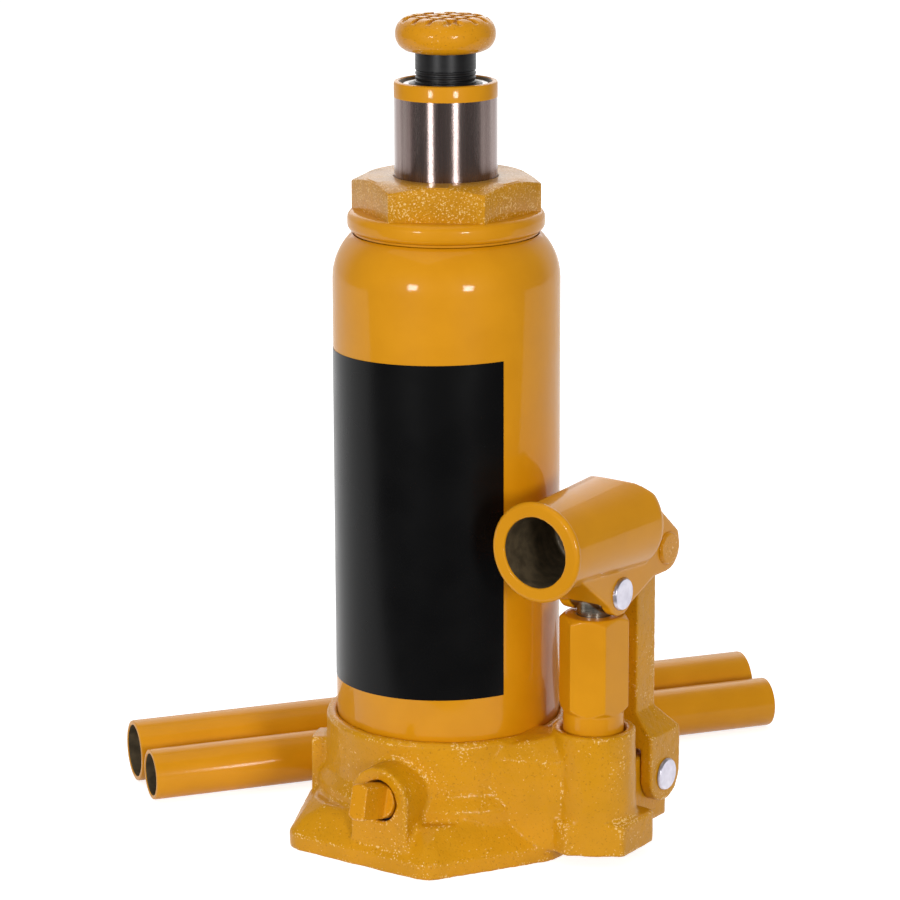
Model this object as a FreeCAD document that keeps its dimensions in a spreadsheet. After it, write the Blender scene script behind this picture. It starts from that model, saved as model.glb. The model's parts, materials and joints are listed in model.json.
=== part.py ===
import FreeCAD, Part
import math
import os
import re
import Sketcher
from FreeCAD import Placement, Rotation, Vector

# Hydraulic bottle jack with a screw-out saddle, a lever pump and a two-piece handle.
# Frame: millimetres, +Z up, origin on the ram axis at the floor. +X points to the pump,
# -Y is the front, where the handle socket and the release valve open.

os.makedirs("parts", exist_ok=True)
doc = FreeCAD.newDocument("bottle_jack")
sheet = doc.addObject("Spreadsheet::Sheet", "Sizes")

SIZES = {
    # general clearances
    "run_gap": (0.04, "radial clearance of a running fit"),
    "side_gap": (0.4, "side clearance beside a swinging part"),
    "through": (80.0, "length of a cut that runs right through"),
    # base casting
    "foot_thick": (4.6, "thickness of the foot at its edge"),
    "foot_rise": (9.0, "height of the slope above the foot's edge"),
    "foot_front": (46.3, "front edge of the foot from the axis"),
    "foot_back": (46.3, "rear edge of the foot from the axis"),
    "foot_left": (49.5, "left corner of the foot from the axis"),
    "foot_right": (45.0, "right edge of the foot from the axis"),
    "foot_corner": (7.0, "rounding of the foot's corners"),
    "front_left": (26.0, "front edge of the foot, left end from the axis"),
    "front_right": (24.5, "front edge of the foot, right end from the axis"),
    "back_left": (17.0, "rear edge of the foot, left end from the axis"),
    "back_right": (26.0, "rear edge of the foot, right end from the axis"),
    "foot_run": (6.5, "how far that slope runs inward"),
    "flank_reach": (15.0, "reach of the sloping flank beyond the collar"),
    "collar_radius": (39.3, "collar at the bottom of the base ring"),
    "collar_top": (16.5, "top of the collar"),
    "ring_radius": (36.4, "base ring that holds the reservoir"),
    "ring_top": (36.6, "top of the base ring"),
    "ring_edge": (1.0, "chamfer of the base ring's top edge"),
    "ring_blend": (4.0, "height over which the collar runs into the ring"),
    "deck_top": (26.5, "floor of the oil space in the base"),
    "deck_radius": (30.5, "oil space in the base"),
    "rib_width": (10.0, "width of the rear rib of the base"),
    "rib_reach": (40.2, "reach of the rear rib from the axis"),
    "rib_top": (27.5, "top of the rear rib"),
    "rib_turn": (203.0, "direction of the rear rib, degrees from +X"),
    # reservoir
    "tank_radius": (33.3, "outer radius of the reservoir tube"),
    "tank_wall": (1.6, "wall of the reservoir tube"),
    "tank_seat": (28.5, "floor of the reservoir's seat in the base"),
    "tank_top": (181.4, "top rim of the reservoir tube"),
    "shoulder_high": (13.4, "height of the shoulder below the top rim"),
    "shoulder_radius": (18.0, "radius of the shoulder"),
    "seal_thick": (1.0, "thickness of the lower reservoir seal"),
    "top_seal_thick": (0.6, "thickness of the upper reservoir seal"),
    "filler_height": (140.0, "height of the oil filler"),
    "filler_radius": (4.5, "hole of the oil filler"),
    "filler_flange": (6.5, "flange radius of the filler plug"),
    "filler_turn": (100.0, "direction of the oil filler, degrees from +X"),
    # pressure cylinder and cap
    "bore_radius": (17.5, "bore of the pressure cylinder"),
    "cylinder_radius": (22.0, "outer radius of the pressure cylinder"),
    "cylinder_top": (186.0, "top of the pressure cylinder"),
    "gasket_thick": (1.0, "thickness of the cylinder gasket"),
    "flange_radius": (28.8, "round flange of the cap"),
    "flange_high": (6.0, "height of the cap's flange"),
    "flange_round": (2.2, "rounding of the cap's flange"),
    "cap_flats": (50.0, "across flats of the cap"),
    "cap_corner": (27.6, "radius that the cap's corners are turned to"),
    "cap_high": (10.0, "height of the cap's hexagon"),
    "cap_chamfer": (2.0, "chamfer on top of the hexagon"),
    "cap_turn": (-1.7, "turn of the hexagon's flat from +X, degrees"),
    "cap_skirt_radius": (24.4, "outer radius of the threaded skirt"),
    "cap_skirt": (10.0, "length of the threaded skirt below the flange"),
    "gland_low": (180.5, "lower end of the ram's guide in the cap"),
    "wiper_radius": (17.6, "groove of the ram wiper"),
    "wiper_low": (191.0, "lower side of the wiper groove"),
    "wiper_high": (3.2, "height of the wiper groove"),
    # ram, at rest partly raised
    "ram_radius": (15.0, "outer radius of the ram"),
    "ram_top": (225.5, "top of the ram as it stands"),
    "ram_low": (74.5, "lower shoulder of the ram as it stands"),
    "ram_bore": (10.25, "threaded bore for the screw"),
    "ram_bore_deep": (100.0, "depth of the threaded bore"),
    "ram_mouth": (12.5, "inner ring in the ram's mouth"),
    "groove_mouth": (0.9, "groove round that ring, and how far the ring is sunk"),
    "spigot_radius": (8.0, "spigot that carries the piston"),
    "piston_high": (10.0, "height of the piston ring"),
    "cup_high": (7.0, "height of the cup seal"),
    "washer_high": (2.0, "thickness of the cup washer"),
    "cup_lip": (3.0, "room that the cup seal's lip takes from the bore"),
    "nut_high": (4.5, "height of the piston nut"),
    "nut_flats": (22.0, "across flats of the piston nut"),
    # screw and saddle, at rest a little way out
    "screw_out": (8.4, "gap between the ram's top and the saddle"),
    "screw_radius": (10.2, "thread of the extension screw, outer"),
    "neck_radius": (8.8, "plain neck of the screw"),
    "neck_sunk": (3.5, "how far the neck reaches into the ram"),
    "screw_long": (92.0, "length of the screw below the saddle"),
    "stop_radius": (8.0, "end spigot for the stop ring"),
    "stop_high": (3.0, "height of the stop ring"),
    "saddle_radius": (14.5, "outer radius of the saddle"),
    "saddle_high": (10.1, "height of the saddle"),
    "saddle_round": (4.8, "rounding of the saddle's edges"),
    "saddle_pin": (6.0, "screw's spigot in the saddle"),
    "saddle_pin_high": (7.0, "length of the screw's spigot"),
    "groove_step": (4.9, "spacing of the saddle's grooves"),
    "groove_wide": (1.7, "width of a saddle groove"),
    "groove_deep": (1.4, "depth of a saddle groove"),
    # label
    "label_thick": (0.15, "thickness of the label"),
    "label_low": (48.6, "lower edge of the label"),
    "label_high": (99.6, "height of the label"),
    "label_span": (118.0, "angle that the label wraps, degrees"),
    "label_turn": (-85.0, "middle of the label, degrees from +X"),
    # pump
    "pump_x": (51.8, "pump axis"),
    "pump_y": (0.0, "pump axis"),
    "boss_top": (40.0, "top of the pump boss"),
    "boss_radius": (12.3, "pump boss at its top"),
    "boss_foot": (13.0, "pump boss at the floor"),
    "pad_right": (66.2, "right side of the pump pad"),
    "pad_top": (13.6, "top of the pump pad"),
    "pad_low": (3.9, "underside of the pump pad above the floor"),
    "pad_front": (6.3, "right front corner of the pad, in front of the pump axis"),
    "pad_nose": (14.4, "front corner of the pad, in front of the pump axis"),
    "pad_back": (12.2, "rear of the pump pad"),
    "web_front": (20.5, "front of the gusset between ring and boss, at the ring"),
    "web_drop": (5.0, "top of that gusset below the ring's top"),
    "web_low": (1.5, "top of the web to the boss below the ring's top"),
    "pump_flats": (18.0, "across flats of the pump cylinder"),
    "pump_turn": (-8.8, "turn of the pump's flat from +X, degrees"),
    "hex_low": (45.2, "lower end of the pump's hexagon"),
    "hex_top": (74.3, "upper end of the pump's hexagon"),
    "hex_chamfer": (1.6, "turned chamfer of the hexagon's corners"),
    "neck_pump": (8.9, "round neck of the pump cylinder"),
    "neck_mouth": (9.6, "mouth of the hole round the neck"),
    "mouth_deep": (3.0, "depth of that mouth"),
    "pump_seat": (17.0, "floor of the pump's threaded hole"),
    "pump_seal_thick": (1.0, "thickness of the pump gasket"),
    "chamber_deep": (3.0, "pump chamber below the pump's seat"),
    "pocket_deep": (6.0, "suction ball's pocket below the chamber"),
    "suction_drop": (9.0, "suction passage below the chamber"),
    "inlet_inset": (4.6, "suction riser inside the edge of the oil space"),
    "inlet_side": (6.0, "suction riser behind the pump axis"),
    "outlet_x": (12.0, "delivery valve's axis"),
    "outlet_side": (4.4, "delivery passage in front of the pump axis"),
    "outlet_drop": (1.6, "delivery passage below the pump's seat"),
    "outlet_seat": (0.4, "delivery ball's seat below the pump's seat"),
    "retainer_thick": (1.6, "thickness of the delivery spring's retainer"),
    "retainer_rim": (1.0, "rim of that retainer outside the ball's pocket"),
    "spring_wire": (0.35, "radius of the delivery spring's wire"),
    "spring_coil": (1.7, "radius of the delivery spring's coil"),
    "strainer_radius": (3.2, "radius of the suction strainer"),
    "strainer_thick": (1.2, "thickness of the suction strainer"),
    "plunger_radius": (5.0, "radius of the plunger"),
    "plunger_low": (46.0, "lower end of the plunger"),
    "ring_groove": (3.9, "bottom of the plunger's seal groove"),
    "ring_high": (2.6, "height of the plunger's seal"),
    "ring_low": (2.4, "seal groove above the plunger's lower end"),
    "eye_radius": (5.7, "eye at the top of the plunger"),
    "pivot_play": (0.8, "length of play of the open pivot each way"),
    "pivot_gap": (0.2, "clearance of the open pivot across its play"),
    # lever
    "pin_radius": (3.2, "shank of the plunger pin and link pins"),
    "head_radius": (5.0, "head of a pin"),
    "head_thick": (1.0, "thickness of a pin's head"),
    "clip_radius": (4.6, "outer radius of a pin's clip"),
    "clip_thick": (0.8, "thickness of a pin's clip"),
    "plunger_pin_z": (81.4, "plunger pin height"),
    "link_y": (26.0, "both pins of the link"),
    "link_base_z": (19.5, "lower pin of the link"),
    "link_top_z": (89.3, "upper pin of the link"),
    "socket_z": (99.5, "axis of the handle socket"),
    "socket_front": (31.5, "mouth of the socket in front of the axis"),
    "socket_back": (16.0, "rear end of the socket's tube"),
    "socket_bore": (10.25, "bore of the socket"),
    "socket_deep": (26.0, "depth of the socket's bore"),
    "rim_radius": (14.6, "rim of the socket"),
    "rim_wide": (2.4, "width of the rim"),
    "barrel_radius": (15.0, "barrel of the socket"),
    "barrel_slim": (12.8, "barrel just behind the rim"),
    "barrel_end": (3.5, "rounded rear edge of the barrel"),
    "hood_top": (10.0, "where the hood's slope starts, behind the pump axis"),
    "hood_drop": (2.4, "start of that slope below the barrel's top"),
    "hood_toe": (4.0, "end of that slope above the upper link pin"),
    "hood_inset": (0.8, "end of that slope before the cheek's rear edge"),
    "hood_share": (0.055, "part of that slope that the barrel covers at a cheek"),
    "cheek_half": (9.0, "outer face of a cheek from the pump axis"),
    "slot_half": (5.5, "inner face of a cheek from the pump axis"),
    "cheek_boss": (7.0, "cheek round the upper link pin"),
    "cheek_low_boss": (6.6, "cheek round the plunger pin"),
    "shank_half": (3.4, "link shank, half its width along X"),
    "shank_front": (7.6, "link shank, front face before the link pins"),
    "shank_back": (2.6, "link shank, rear face behind the link pins"),
    "link_eye": (5.4, "upper eye of the link"),
    "link_room": (4.0, "room between the cheeks in front of the link's eye"),
    "fork_half": (9.0, "outer face of the fork from the pump axis"),
    "fork_radius": (8.2, "rounded end of the fork"),
    "fork_slot": (28.5, "top of the fork's slot"),
    "flare_low": (32.5, "lower end of the fork's flare"),
    "flare_top": (39.5, "upper end of the fork's flare"),
    "lug_half": (4.8, "half the thickness of the base lug"),
    "lug_radius": (6.6, "rounded top of the base lug"),
    "lug_back": (33.7, "rear end of the lug's foot"),
    "lug_foot": (6.0, "height of the lug's foot"),
    # release valve
    "valve_x": (6.5, "release valve at the boss's face"),
    "valve_front": (45.0, "face of the valve boss in front of the axis"),
    "valve_z": (21.0, "release valve at the boss's face"),
    "valve_tilt": (13.0, "upward tilt of the release valve, degrees"),
    "valve_boss": (9.8, "half the width of the valve boss"),
    "valve_boss_deep": (20.0, "length of the valve boss into the base"),
    "valve_riser": (12.0, "return passage in front of the ram axis"),
    "valve_seal_low": (0.2, "valve's seal above the floor of the mouth"),
    "valve_seal_high": (2.6, "height of the valve's seal"),
    "valve_neck": (4.1, "bottom of the seal groove"),
    "tang_tool": (20.0, "size of the cut beside the valve's tang"),
    "valve_mouth": (6.1, "mouth of the valve's hole"),
    "valve_mouth_deep": (8.0, "depth of the mouth"),
    "valve_radius": (5.4, "stem of the release valve"),
    "valve_thread": (4.6, "thread of the release valve"),
    "valve_thread_deep": (21.0, "lower end of the thread"),
    "tang_out": (10.2, "reach of the valve's tang"),
    "tang_wide": (5.5, "thickness of the valve's tang"),
    "ball_radius": (2.5, "radius of the check balls"),
    "seat_radius": (1.5, "oil passages and ball seats"),
    "pocket_gap": (0.3, "clearance round a ball in its pocket"),
    # handle, in two tubes that lie side by side behind the jack
    "handle_long": (208.5, "length of each handle tube"),
    "thick_radius": (9.5, "outer radius of the lower handle"),
    "thick_bore": (8.1, "bore of the lower handle"),
    "thin_radius": (7.8, "outer radius of the upper handle"),
    "thin_bore": (6.5, "bore of the upper handle"),
    "handle_turn": (54.8, "direction of the handle tubes, degrees from +X"),
    "thin_off": (51.0, "upper handle from the ram axis"),
    "thick_off": (70.2, "lower handle from the ram axis"),
    "handle_start": (-79.3, "near end of the tubes along their own direction"),
}

for row, (alias, (value, note)) in enumerate(SIZES.items(), start=1):
    sheet.set("A%d" % row, alias)
    sheet.set("B%d" % row, str(value))
    sheet.set("C%d" % row, note)
    sheet.setAlias("B%d" % row, alias)
doc.recompute()

WORDS = re.compile(r"\b(" + "|".join(sorted(SIZES, key=len, reverse=True)) + r")\b")


def formula(text):
    """Return the text as a sheet expression, with each size's name tied to its cell."""
    return WORDS.sub(r"Sizes.\1", str(text))


def number(text):
    """Return the value of a formula of the sheet's sizes."""
    if isinstance(text, (int, float)):
        return float(text)
    value = sheet.evalExpression(formula(text))
    return float(getattr(value, "Value", value))


def bind(item, **sizes):
    """Tie properties of an object to formulas; a double underscore stands for a dot."""
    for name, text in sizes.items():
        item.setExpression(name.replace("__", "."), formula(text))


def place(item, x=0, y=0, z=0, rotation=None):
    """Place an object at formulas of the sheet, turned by a fixed rotation."""
    if rotation is not None:
        item.Placement = Placement(Vector(0, 0, 0), rotation)
    bind(item, Placement__Base__x=x, Placement__Base__y=y, Placement__Base__z=z)
    return item


ALONG_X = Rotation(Vector(0, 1, 0), 90)
ALONG_Y = Rotation(Vector(1, 0, 0), -90)
TO_FRONT = Rotation(Vector(1, 0, 0), 90)


# ---------------------------------------------------------------- sketches

def draw(sketch, corners, arcs=None):
    """Draw a closed outline. arcs maps a side's number to (radius, turn of the arc)."""
    arcs = arcs or {}
    spots = [Vector(number(across), number(up), 0) for across, up in corners]
    count = len(spots)
    first = sketch.GeometryCount
    for side in range(count):
        start = spots[side]
        end = spots[(side + 1) % count]
        if side in arcs:
            radius, turn = arcs[side]
            sketch.addGeometry(arc_between(start, end, number(radius), turn), False)
        else:
            sketch.addGeometry(Part.LineSegment(start, end), False)
    ends = []
    for side in range(count):
        turned_back = side in arcs and arcs[side][1] < 0
        ends.append((2, 1) if turned_back else (1, 2))
    for side in range(count):
        following = (side + 1) % count
        sketch.addConstraint(Sketcher.Constraint(
            "Coincident", first + side, ends[side][1], first + following, ends[following][0]))
    for side, (across, up) in enumerate(corners):
        for kind, text in (("DistanceX", across), ("DistanceY", up)):
            index = sketch.addConstraint(Sketcher.Constraint(
                kind, -1, 1, first + side, ends[side][0], number(text)))
            if not isinstance(text, (int, float)):
                sketch.setExpression("Constraints[%d]" % index, formula(text))
    for side, (radius, _) in arcs.items():
        index = sketch.addConstraint(Sketcher.Constraint("Radius", first + side, number(radius)))
        sketch.setExpression("Constraints[%d]" % index, formula(radius))


def arc_between(start, end, radius, turn):
    """Return the short arc from start to end; turn is 1 to the left and -1 to the right."""
    chord = end - start
    middle = (start + end) * 0.5
    reach = math.sqrt(max(radius * radius - chord.Length ** 2 / 4, 0.0))
    left = Vector(-chord.y, chord.x, 0).normalize()
    centre = middle + left * (reach * turn)
    begin = math.atan2(start.y - centre.y, start.x - centre.x)
    finish = math.atan2(end.y - centre.y, end.x - centre.x)
    if turn < 0:
        begin, finish = finish, begin
    return Part.ArcOfCircle(Part.Circle(centre, Vector(0, 0, 1), radius), begin, finish)


def plane_of(body, role):
    """Return one of a body's origin planes."""
    return next(item for item in body.Origin.OriginFeatures if item.Role == role)


def body_sketch(body, role, name):
    """Return a new sketch on one of a body's origin planes."""
    sketch = body.newObject("Sketcher::SketchObject", name)
    sketch.AttachmentSupport = [(plane_of(body, role), "")]
    sketch.MapMode = "FlatFace"
    return sketch


# ---------------------------------------------------------------- solids

def turned(label, corners, arcs=None):
    """Return a body turned about its own Z from a profile of (radius, height) corners."""
    body = doc.addObject("PartDesign::Body", label)
    body.Label = label
    sketch = body_sketch(body, "XZ_Plane", label + "_profile")
    draw(sketch, corners, arcs)
    feature = body.newObject("PartDesign::Revolution", label + "_turned")
    feature.Profile = sketch
    feature.ReferenceAxis = (sketch, ["V_Axis"])
    feature.Angle = 360.0
    return body


def ring(label, inner, outer, low, high):
    """Return a plain turned ring."""
    return turned(label, [(inner, low), (outer, low), (outer, high), (inner, high)])


def plate(label, role, corners, arcs, start, length):
    """Return a body padded from an outline on one of its planes, from start for length."""
    body = doc.addObject("PartDesign::Body", label)
    body.Label = label
    sketch = body_sketch(body, role, label + "_outline")
    bind(sketch, AttachmentOffset__Base__z=start)
    draw(sketch, corners, arcs)
    feature = body.newObject("PartDesign::Pad", label + "_pad")
    feature.Profile = sketch
    bind(feature, Length=length)
    return body


def across_plate(label, corners, arcs, half):
    """Return a plate with its outline in the YZ plane, the same either side of the pump axis."""
    body = plate(label, "YZ_Plane", corners, arcs, "-(%s)" % half, "2 * (%s)" % half)
    bind(body, Placement__Base__x="pump_x")
    return body


def cylinder(label, radius, length, x=0, y=0, z=0, rotation=None):
    """Return a cylinder that starts at a place and runs along +Z, or as rotation turns it."""
    item = doc.addObject("Part::Cylinder", label)
    bind(item, Radius=radius, Height=length)
    return place(item, x, y, z, rotation)


def cone(label, low_radius, top_radius, length, x=0, y=0, z=0, rotation=None):
    """Return a cone that starts at a place."""
    item = doc.addObject("Part::Cone", label)
    bind(item, Radius1=low_radius, Radius2=top_radius, Height=length)
    return place(item, x, y, z, rotation)


def ball(label, radius, x=0, y=0, z=0):
    """Return a ball at a place."""
    item = doc.addObject("Part::Sphere", label)
    item.Label = label
    bind(item, Radius=radius)
    return place(item, x, y, z)


def block(label, size, corner):
    """Return a box by its three sizes and its lowest corner."""
    item = doc.addObject("Part::Box", label)
    bind(item, Length=size[0], Width=size[1], Height=size[2])
    return place(item, *corner)


def hexagon(label, flats, high, turn, x=0, y=0, z=0):
    """Return a hexagonal prism with a flat at the angle turn from +X."""
    item = doc.addObject("Part::Prism", label)
    item.Polygon = 6
    bind(item, Circumradius="(%s) / 2 / cos(30)" % flats, Height=high)
    return place(item, x, y, z, Rotation(Vector(0, 0, 1), number(turn) + 30))


def joined(label, parts):
    """Return several solids as one."""
    item = doc.addObject("Part::MultiFuse", label)
    item.Label = label
    item.Shapes = parts
    item.Refine = True
    return item


def shared(label, first, second):
    """Return what two solids share."""
    item = doc.addObject("Part::Common", label)
    item.Label = label
    item.Base = first
    item.Tool = second
    return item


def without(label, base, tools):
    """Return a solid with others cut out of it."""
    tool = tools[0]
    if len(tools) > 1:
        tool = joined(label + "_tools", tools)
    item = doc.addObject("Part::Cut", label)
    item.Label = label
    item.Base = base
    item.Tool = tool
    item.Refine = True
    return item


def rounded(label, base, radius, wanted):
    """Return a solid with the edges that wanted picks rounded by a size."""
    doc.recompute()
    size = number(radius)
    edges = base.Shape.Edges
    picks = [(index, size, size) for index, edge in enumerate(edges, 1) if wanted(edge)]
    item = doc.addObject("Part::Fillet", label)
    item.Label = label
    item.Base = base
    item.Edges = picks
    return item


def is_upright(edge):
    """Tell whether an edge is a straight line along Z."""
    if not isinstance(edge.Curve, (Part.Line, Part.LineSegment)):
        return False
    return abs(edge.tangentAt(edge.FirstParameter).z) > 0.999


NODES = []


def keep(item, label):
    """Name a finished sub-part and list it for export."""
    item.Label = label
    NODES.append(item)
    return item


# ---------------------------------------------------------------- base casting

def base_casting():
    """Cast base: foot, flank, ring, pump pad and boss, valve boss, lug and oil passages."""
    foot_top = "foot_thick + foot_rise"
    foot = plate("foot_blank", "XY_Plane", [
        ("-front_left", "-foot_front"), ("front_right", "-foot_front"),
        ("foot_right", "-foot_front / 4"), ("foot_right", "foot_back / 2"),
        ("back_right", "foot_back"), ("-back_left", "foot_back"), ("-foot_left", 0),
    ], None, 0, foot_top)
    foot = rounded("foot_rounded", foot, "foot_corner", is_upright)
    doc.recompute()
    rim = number(foot_top)
    top_edges = [
        (index, number("foot_rise"), number("foot_run"))
        for index, edge in enumerate(foot.Shape.Edges, 1)
        if edge.BoundBox.ZMin > rim - 0.01
    ]
    sloped = doc.addObject("Part::Chamfer", "foot_sloped")
    sloped.Base = foot
    sloped.Edges = top_edges
    flank = turned("flank", [
        (0, 0), ("foot_left + foot_front", 0), ("foot_left + foot_front", "foot_thick"),
        ("collar_radius + flank_reach", "foot_thick"), ("collar_radius", "collar_top"),
        (0, "collar_top"),
    ])
    foot_plate = shared("foot", sloped, flank)
    ring_wall = turned("ring_wall", [
        (0, "foot_thick / 2"), ("collar_radius + 0.4", "foot_thick / 2"),
        ("collar_radius", "collar_top"), ("ring_radius + 0.3", "collar_top + ring_blend"),
        ("ring_radius", "ring_top - ring_edge"), ("ring_radius - ring_edge", "ring_top"),
        (0, "ring_top"),
    ])
    rib = block("rear_rib", ("rib_reach", "rib_width", "rib_top"), (0, 0, 0))
    rib.Placement = Placement(Vector(0, 0, 0), Rotation(Vector(0, 0, 1), number("rib_turn")))
    pad = plate("pump_pad", "XY_Plane", [
        ("pump_x - boss_foot", "pump_y - pad_back"), ("pump_x", "pump_y - pad_nose"),
        ("pad_right", "pump_y - pad_front"), ("pad_right", "pad_back"),
        ("pump_x - boss_foot", "pad_back"),
    ], None, "pad_low", "pad_top - pad_low")
    pad = rounded("pump_pad_rounded", pad, 2.5, is_upright)
    boss = cone("pump_boss", "boss_foot", "boss_radius", "boss_top - pad_low",
                "pump_x", "pump_y", "pad_low")
    web = block("pump_web",
                ("pump_x - deck_radius", "2 * neck_mouth", "ring_top - web_low - pad_low"),
                ("deck_radius", "pump_y - neck_mouth", "pad_low"))
    gusset = plate("pump_gusset", "XY_Plane", [
        ("deck_radius - 2", "-web_front"), ("pump_x - 3.5", "pump_y - boss_radius"),
        ("pump_x", "pump_y"), ("deck_radius - 2", "pump_y"),
    ], None, "pad_low", "ring_top - web_drop - pad_low")
    lug = joined("link_lug", [
        block("lug_post", ("2 * lug_half", "link_y - pump_y", "link_base_z - pad_low"),
              ("pump_x - lug_half", "pump_y", "pad_low")),
        block("lug_head", ("2 * lug_half", "link_y - pump_y", "link_base_z + lug_radius - pad_top"),
              ("pump_x - lug_half", "pump_y", "pad_top")),
        cylinder("lug_round", "lug_radius", "2 * lug_half",
                 "pump_x - lug_half", "link_y", "link_base_z", ALONG_X),
        block("lug_foot_block", ("2 * lug_half", "lug_back - pad_back", "lug_foot"),
              ("pump_x - lug_half", "pad_back", "pad_low")),
        block("lug_heel", ("2 * lug_half", "2 * lug_radius", "link_base_z - pad_low"),
              ("pump_x - lug_half", "link_y - lug_radius", "pad_low")),
    ])
    valve_boss = joined("valve_boss_block", [
        block("valve_boss_low", ("2 * valve_boss", "valve_boss_deep", "valve_z"),
              ("valve_x - valve_boss", "-valve_front", 0)),
        cylinder("valve_boss_arch", "valve_boss", "valve_boss_deep",
                 "valve_x", "-valve_front", "valve_z", ALONG_Y),
    ])
    body = joined("base_blank", [foot_plate, ring_wall, rib, pad, boss, web, gusset, lug,
                                  valve_boss])
    return without("base_casting", body, base_cuts())


def valve_place(depth):
    """Return formulas for a point on the release valve's axis, depth below the boss's face."""
    return ("valve_x",
            "-valve_front + (%s) * cos(valve_tilt)" % depth,
            "valve_z - (%s) * sin(valve_tilt)" % depth)


def valve_turn():
    """Return the rotation that lays +Z along the release valve's axis, pointing outward."""
    return Rotation(Vector(1, 0, 0), 90 - number("valve_tilt"))


def chamber_floor():
    """Return the formula for the floor of the pump chamber."""
    return "pump_seat - chamber_deep"


def inlet():
    """Return formulas for the suction riser's axis."""
    return "deck_radius - inlet_inset", "pump_y + inlet_side"


def base_cuts():
    """Return the tools that cut the base's seats and oil passages."""
    inlet_x, inlet_y = inlet()
    outlet_y = "pump_y - outlet_side"
    chamber = chamber_floor()
    pocket = "ball_radius + pocket_gap"
    return_depth = "valve_thread_deep - 1.6"
    nose_depth = "valve_front - valve_riser"
    return [
        cylinder("cut_tank_seat", "tank_radius + run_gap", "through", 0, 0, "tank_seat"),
        cylinder("cut_deck", "deck_radius", "through", 0, 0, "deck_top"),
        cylinder("cut_pump_mouth", "neck_mouth", "through", "pump_x", "pump_y",
                 "boss_top - mouth_deep"),
        cylinder("cut_pump_hole", "neck_pump", "through", "pump_x", "pump_y", "pump_seat"),
        cylinder("cut_chamber", "plunger_radius + 0.4", "through", "pump_x", "pump_y", chamber),
        cylinder("cut_suction_pocket", pocket, "pocket_deep + 1", "pump_x", "pump_y",
                 chamber + " - pocket_deep"),
        cylinder("cut_suction_seat", "seat_radius", "pocket_deep", "pump_x", "pump_y",
                 chamber + " - suction_drop - 1"),
        cylinder("cut_suction_run", "seat_radius",
                 "sqrt((pump_x - (%s)) ^ 2 + inlet_side ^ 2)" % inlet_x, "pump_x", "pump_y",
                 chamber + " - suction_drop", passage_turn(inlet_x, inlet_y)),
        cylinder("cut_suction_riser", "seat_radius + 0.5", "through", inlet_x, inlet_y,
                 chamber + " - suction_drop - 0.5"),
        cylinder("cut_outlet_run", "seat_radius - 0.2", "pump_x - outlet_x", "outlet_x", outlet_y,
                 "pump_seat - outlet_drop", ALONG_X),
        cylinder("cut_outlet_seat", "seat_radius", "2 * outlet_drop", "outlet_x", outlet_y,
                 "pump_seat - outlet_drop - 0.8"),
        cylinder("cut_outlet_pocket", pocket, "through", "outlet_x", outlet_y,
                 "pump_seat - outlet_seat"),
        cylinder("cut_outlet_thread", pocket + " + retainer_rim", "through", "outlet_x", outlet_y,
                 "deck_top - retainer_thick"),
        cylinder("cut_valve_mouth", "valve_mouth", "2 * valve_mouth_deep",
                 *valve_place("valve_mouth_deep"), valve_turn()),
        cylinder("cut_valve_thread", "valve_thread", "valve_thread_deep",
                 *valve_place("valve_thread_deep"), valve_turn()),
        cylinder("cut_valve_ball", pocket, "4 * ball_radius",
                 *valve_place("valve_thread_deep + 2 * ball_radius - 0.3"), valve_turn()),
        cylinder("cut_valve_nose", "seat_radius", "(%s) / cos(valve_tilt)" % nose_depth,
                 *valve_place("(%s) / cos(valve_tilt)" % nose_depth), valve_turn()),
        cylinder("cut_valve_riser", "seat_radius", "through", "valve_x", "-valve_riser",
                 "valve_z - (%s) * tan(valve_tilt)" % nose_depth),
        cylinder("cut_valve_return", "seat_radius", "through", "valve_x",
                 "-valve_front + (%s) * cos(valve_tilt)" % return_depth,
                 "valve_z - (%s) * sin(valve_tilt)" % return_depth),
        cylinder("cut_lug_pin", "pin_radius", "2 * lug_half + 2",
                 "pump_x - lug_half - 1", "link_y", "link_base_z", ALONG_X),
    ]


def passage_turn(inlet_x, inlet_y):
    """Return the rotation that lays +Z from the pump axis to the suction riser."""
    run = Vector(number(inlet_x) - number("pump_x"), number(inlet_y) - number("pump_y"), 0)
    return Rotation(Vector(0, 0, 1), run)


# ---------------------------------------------------------------- reservoir and cap

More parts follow.
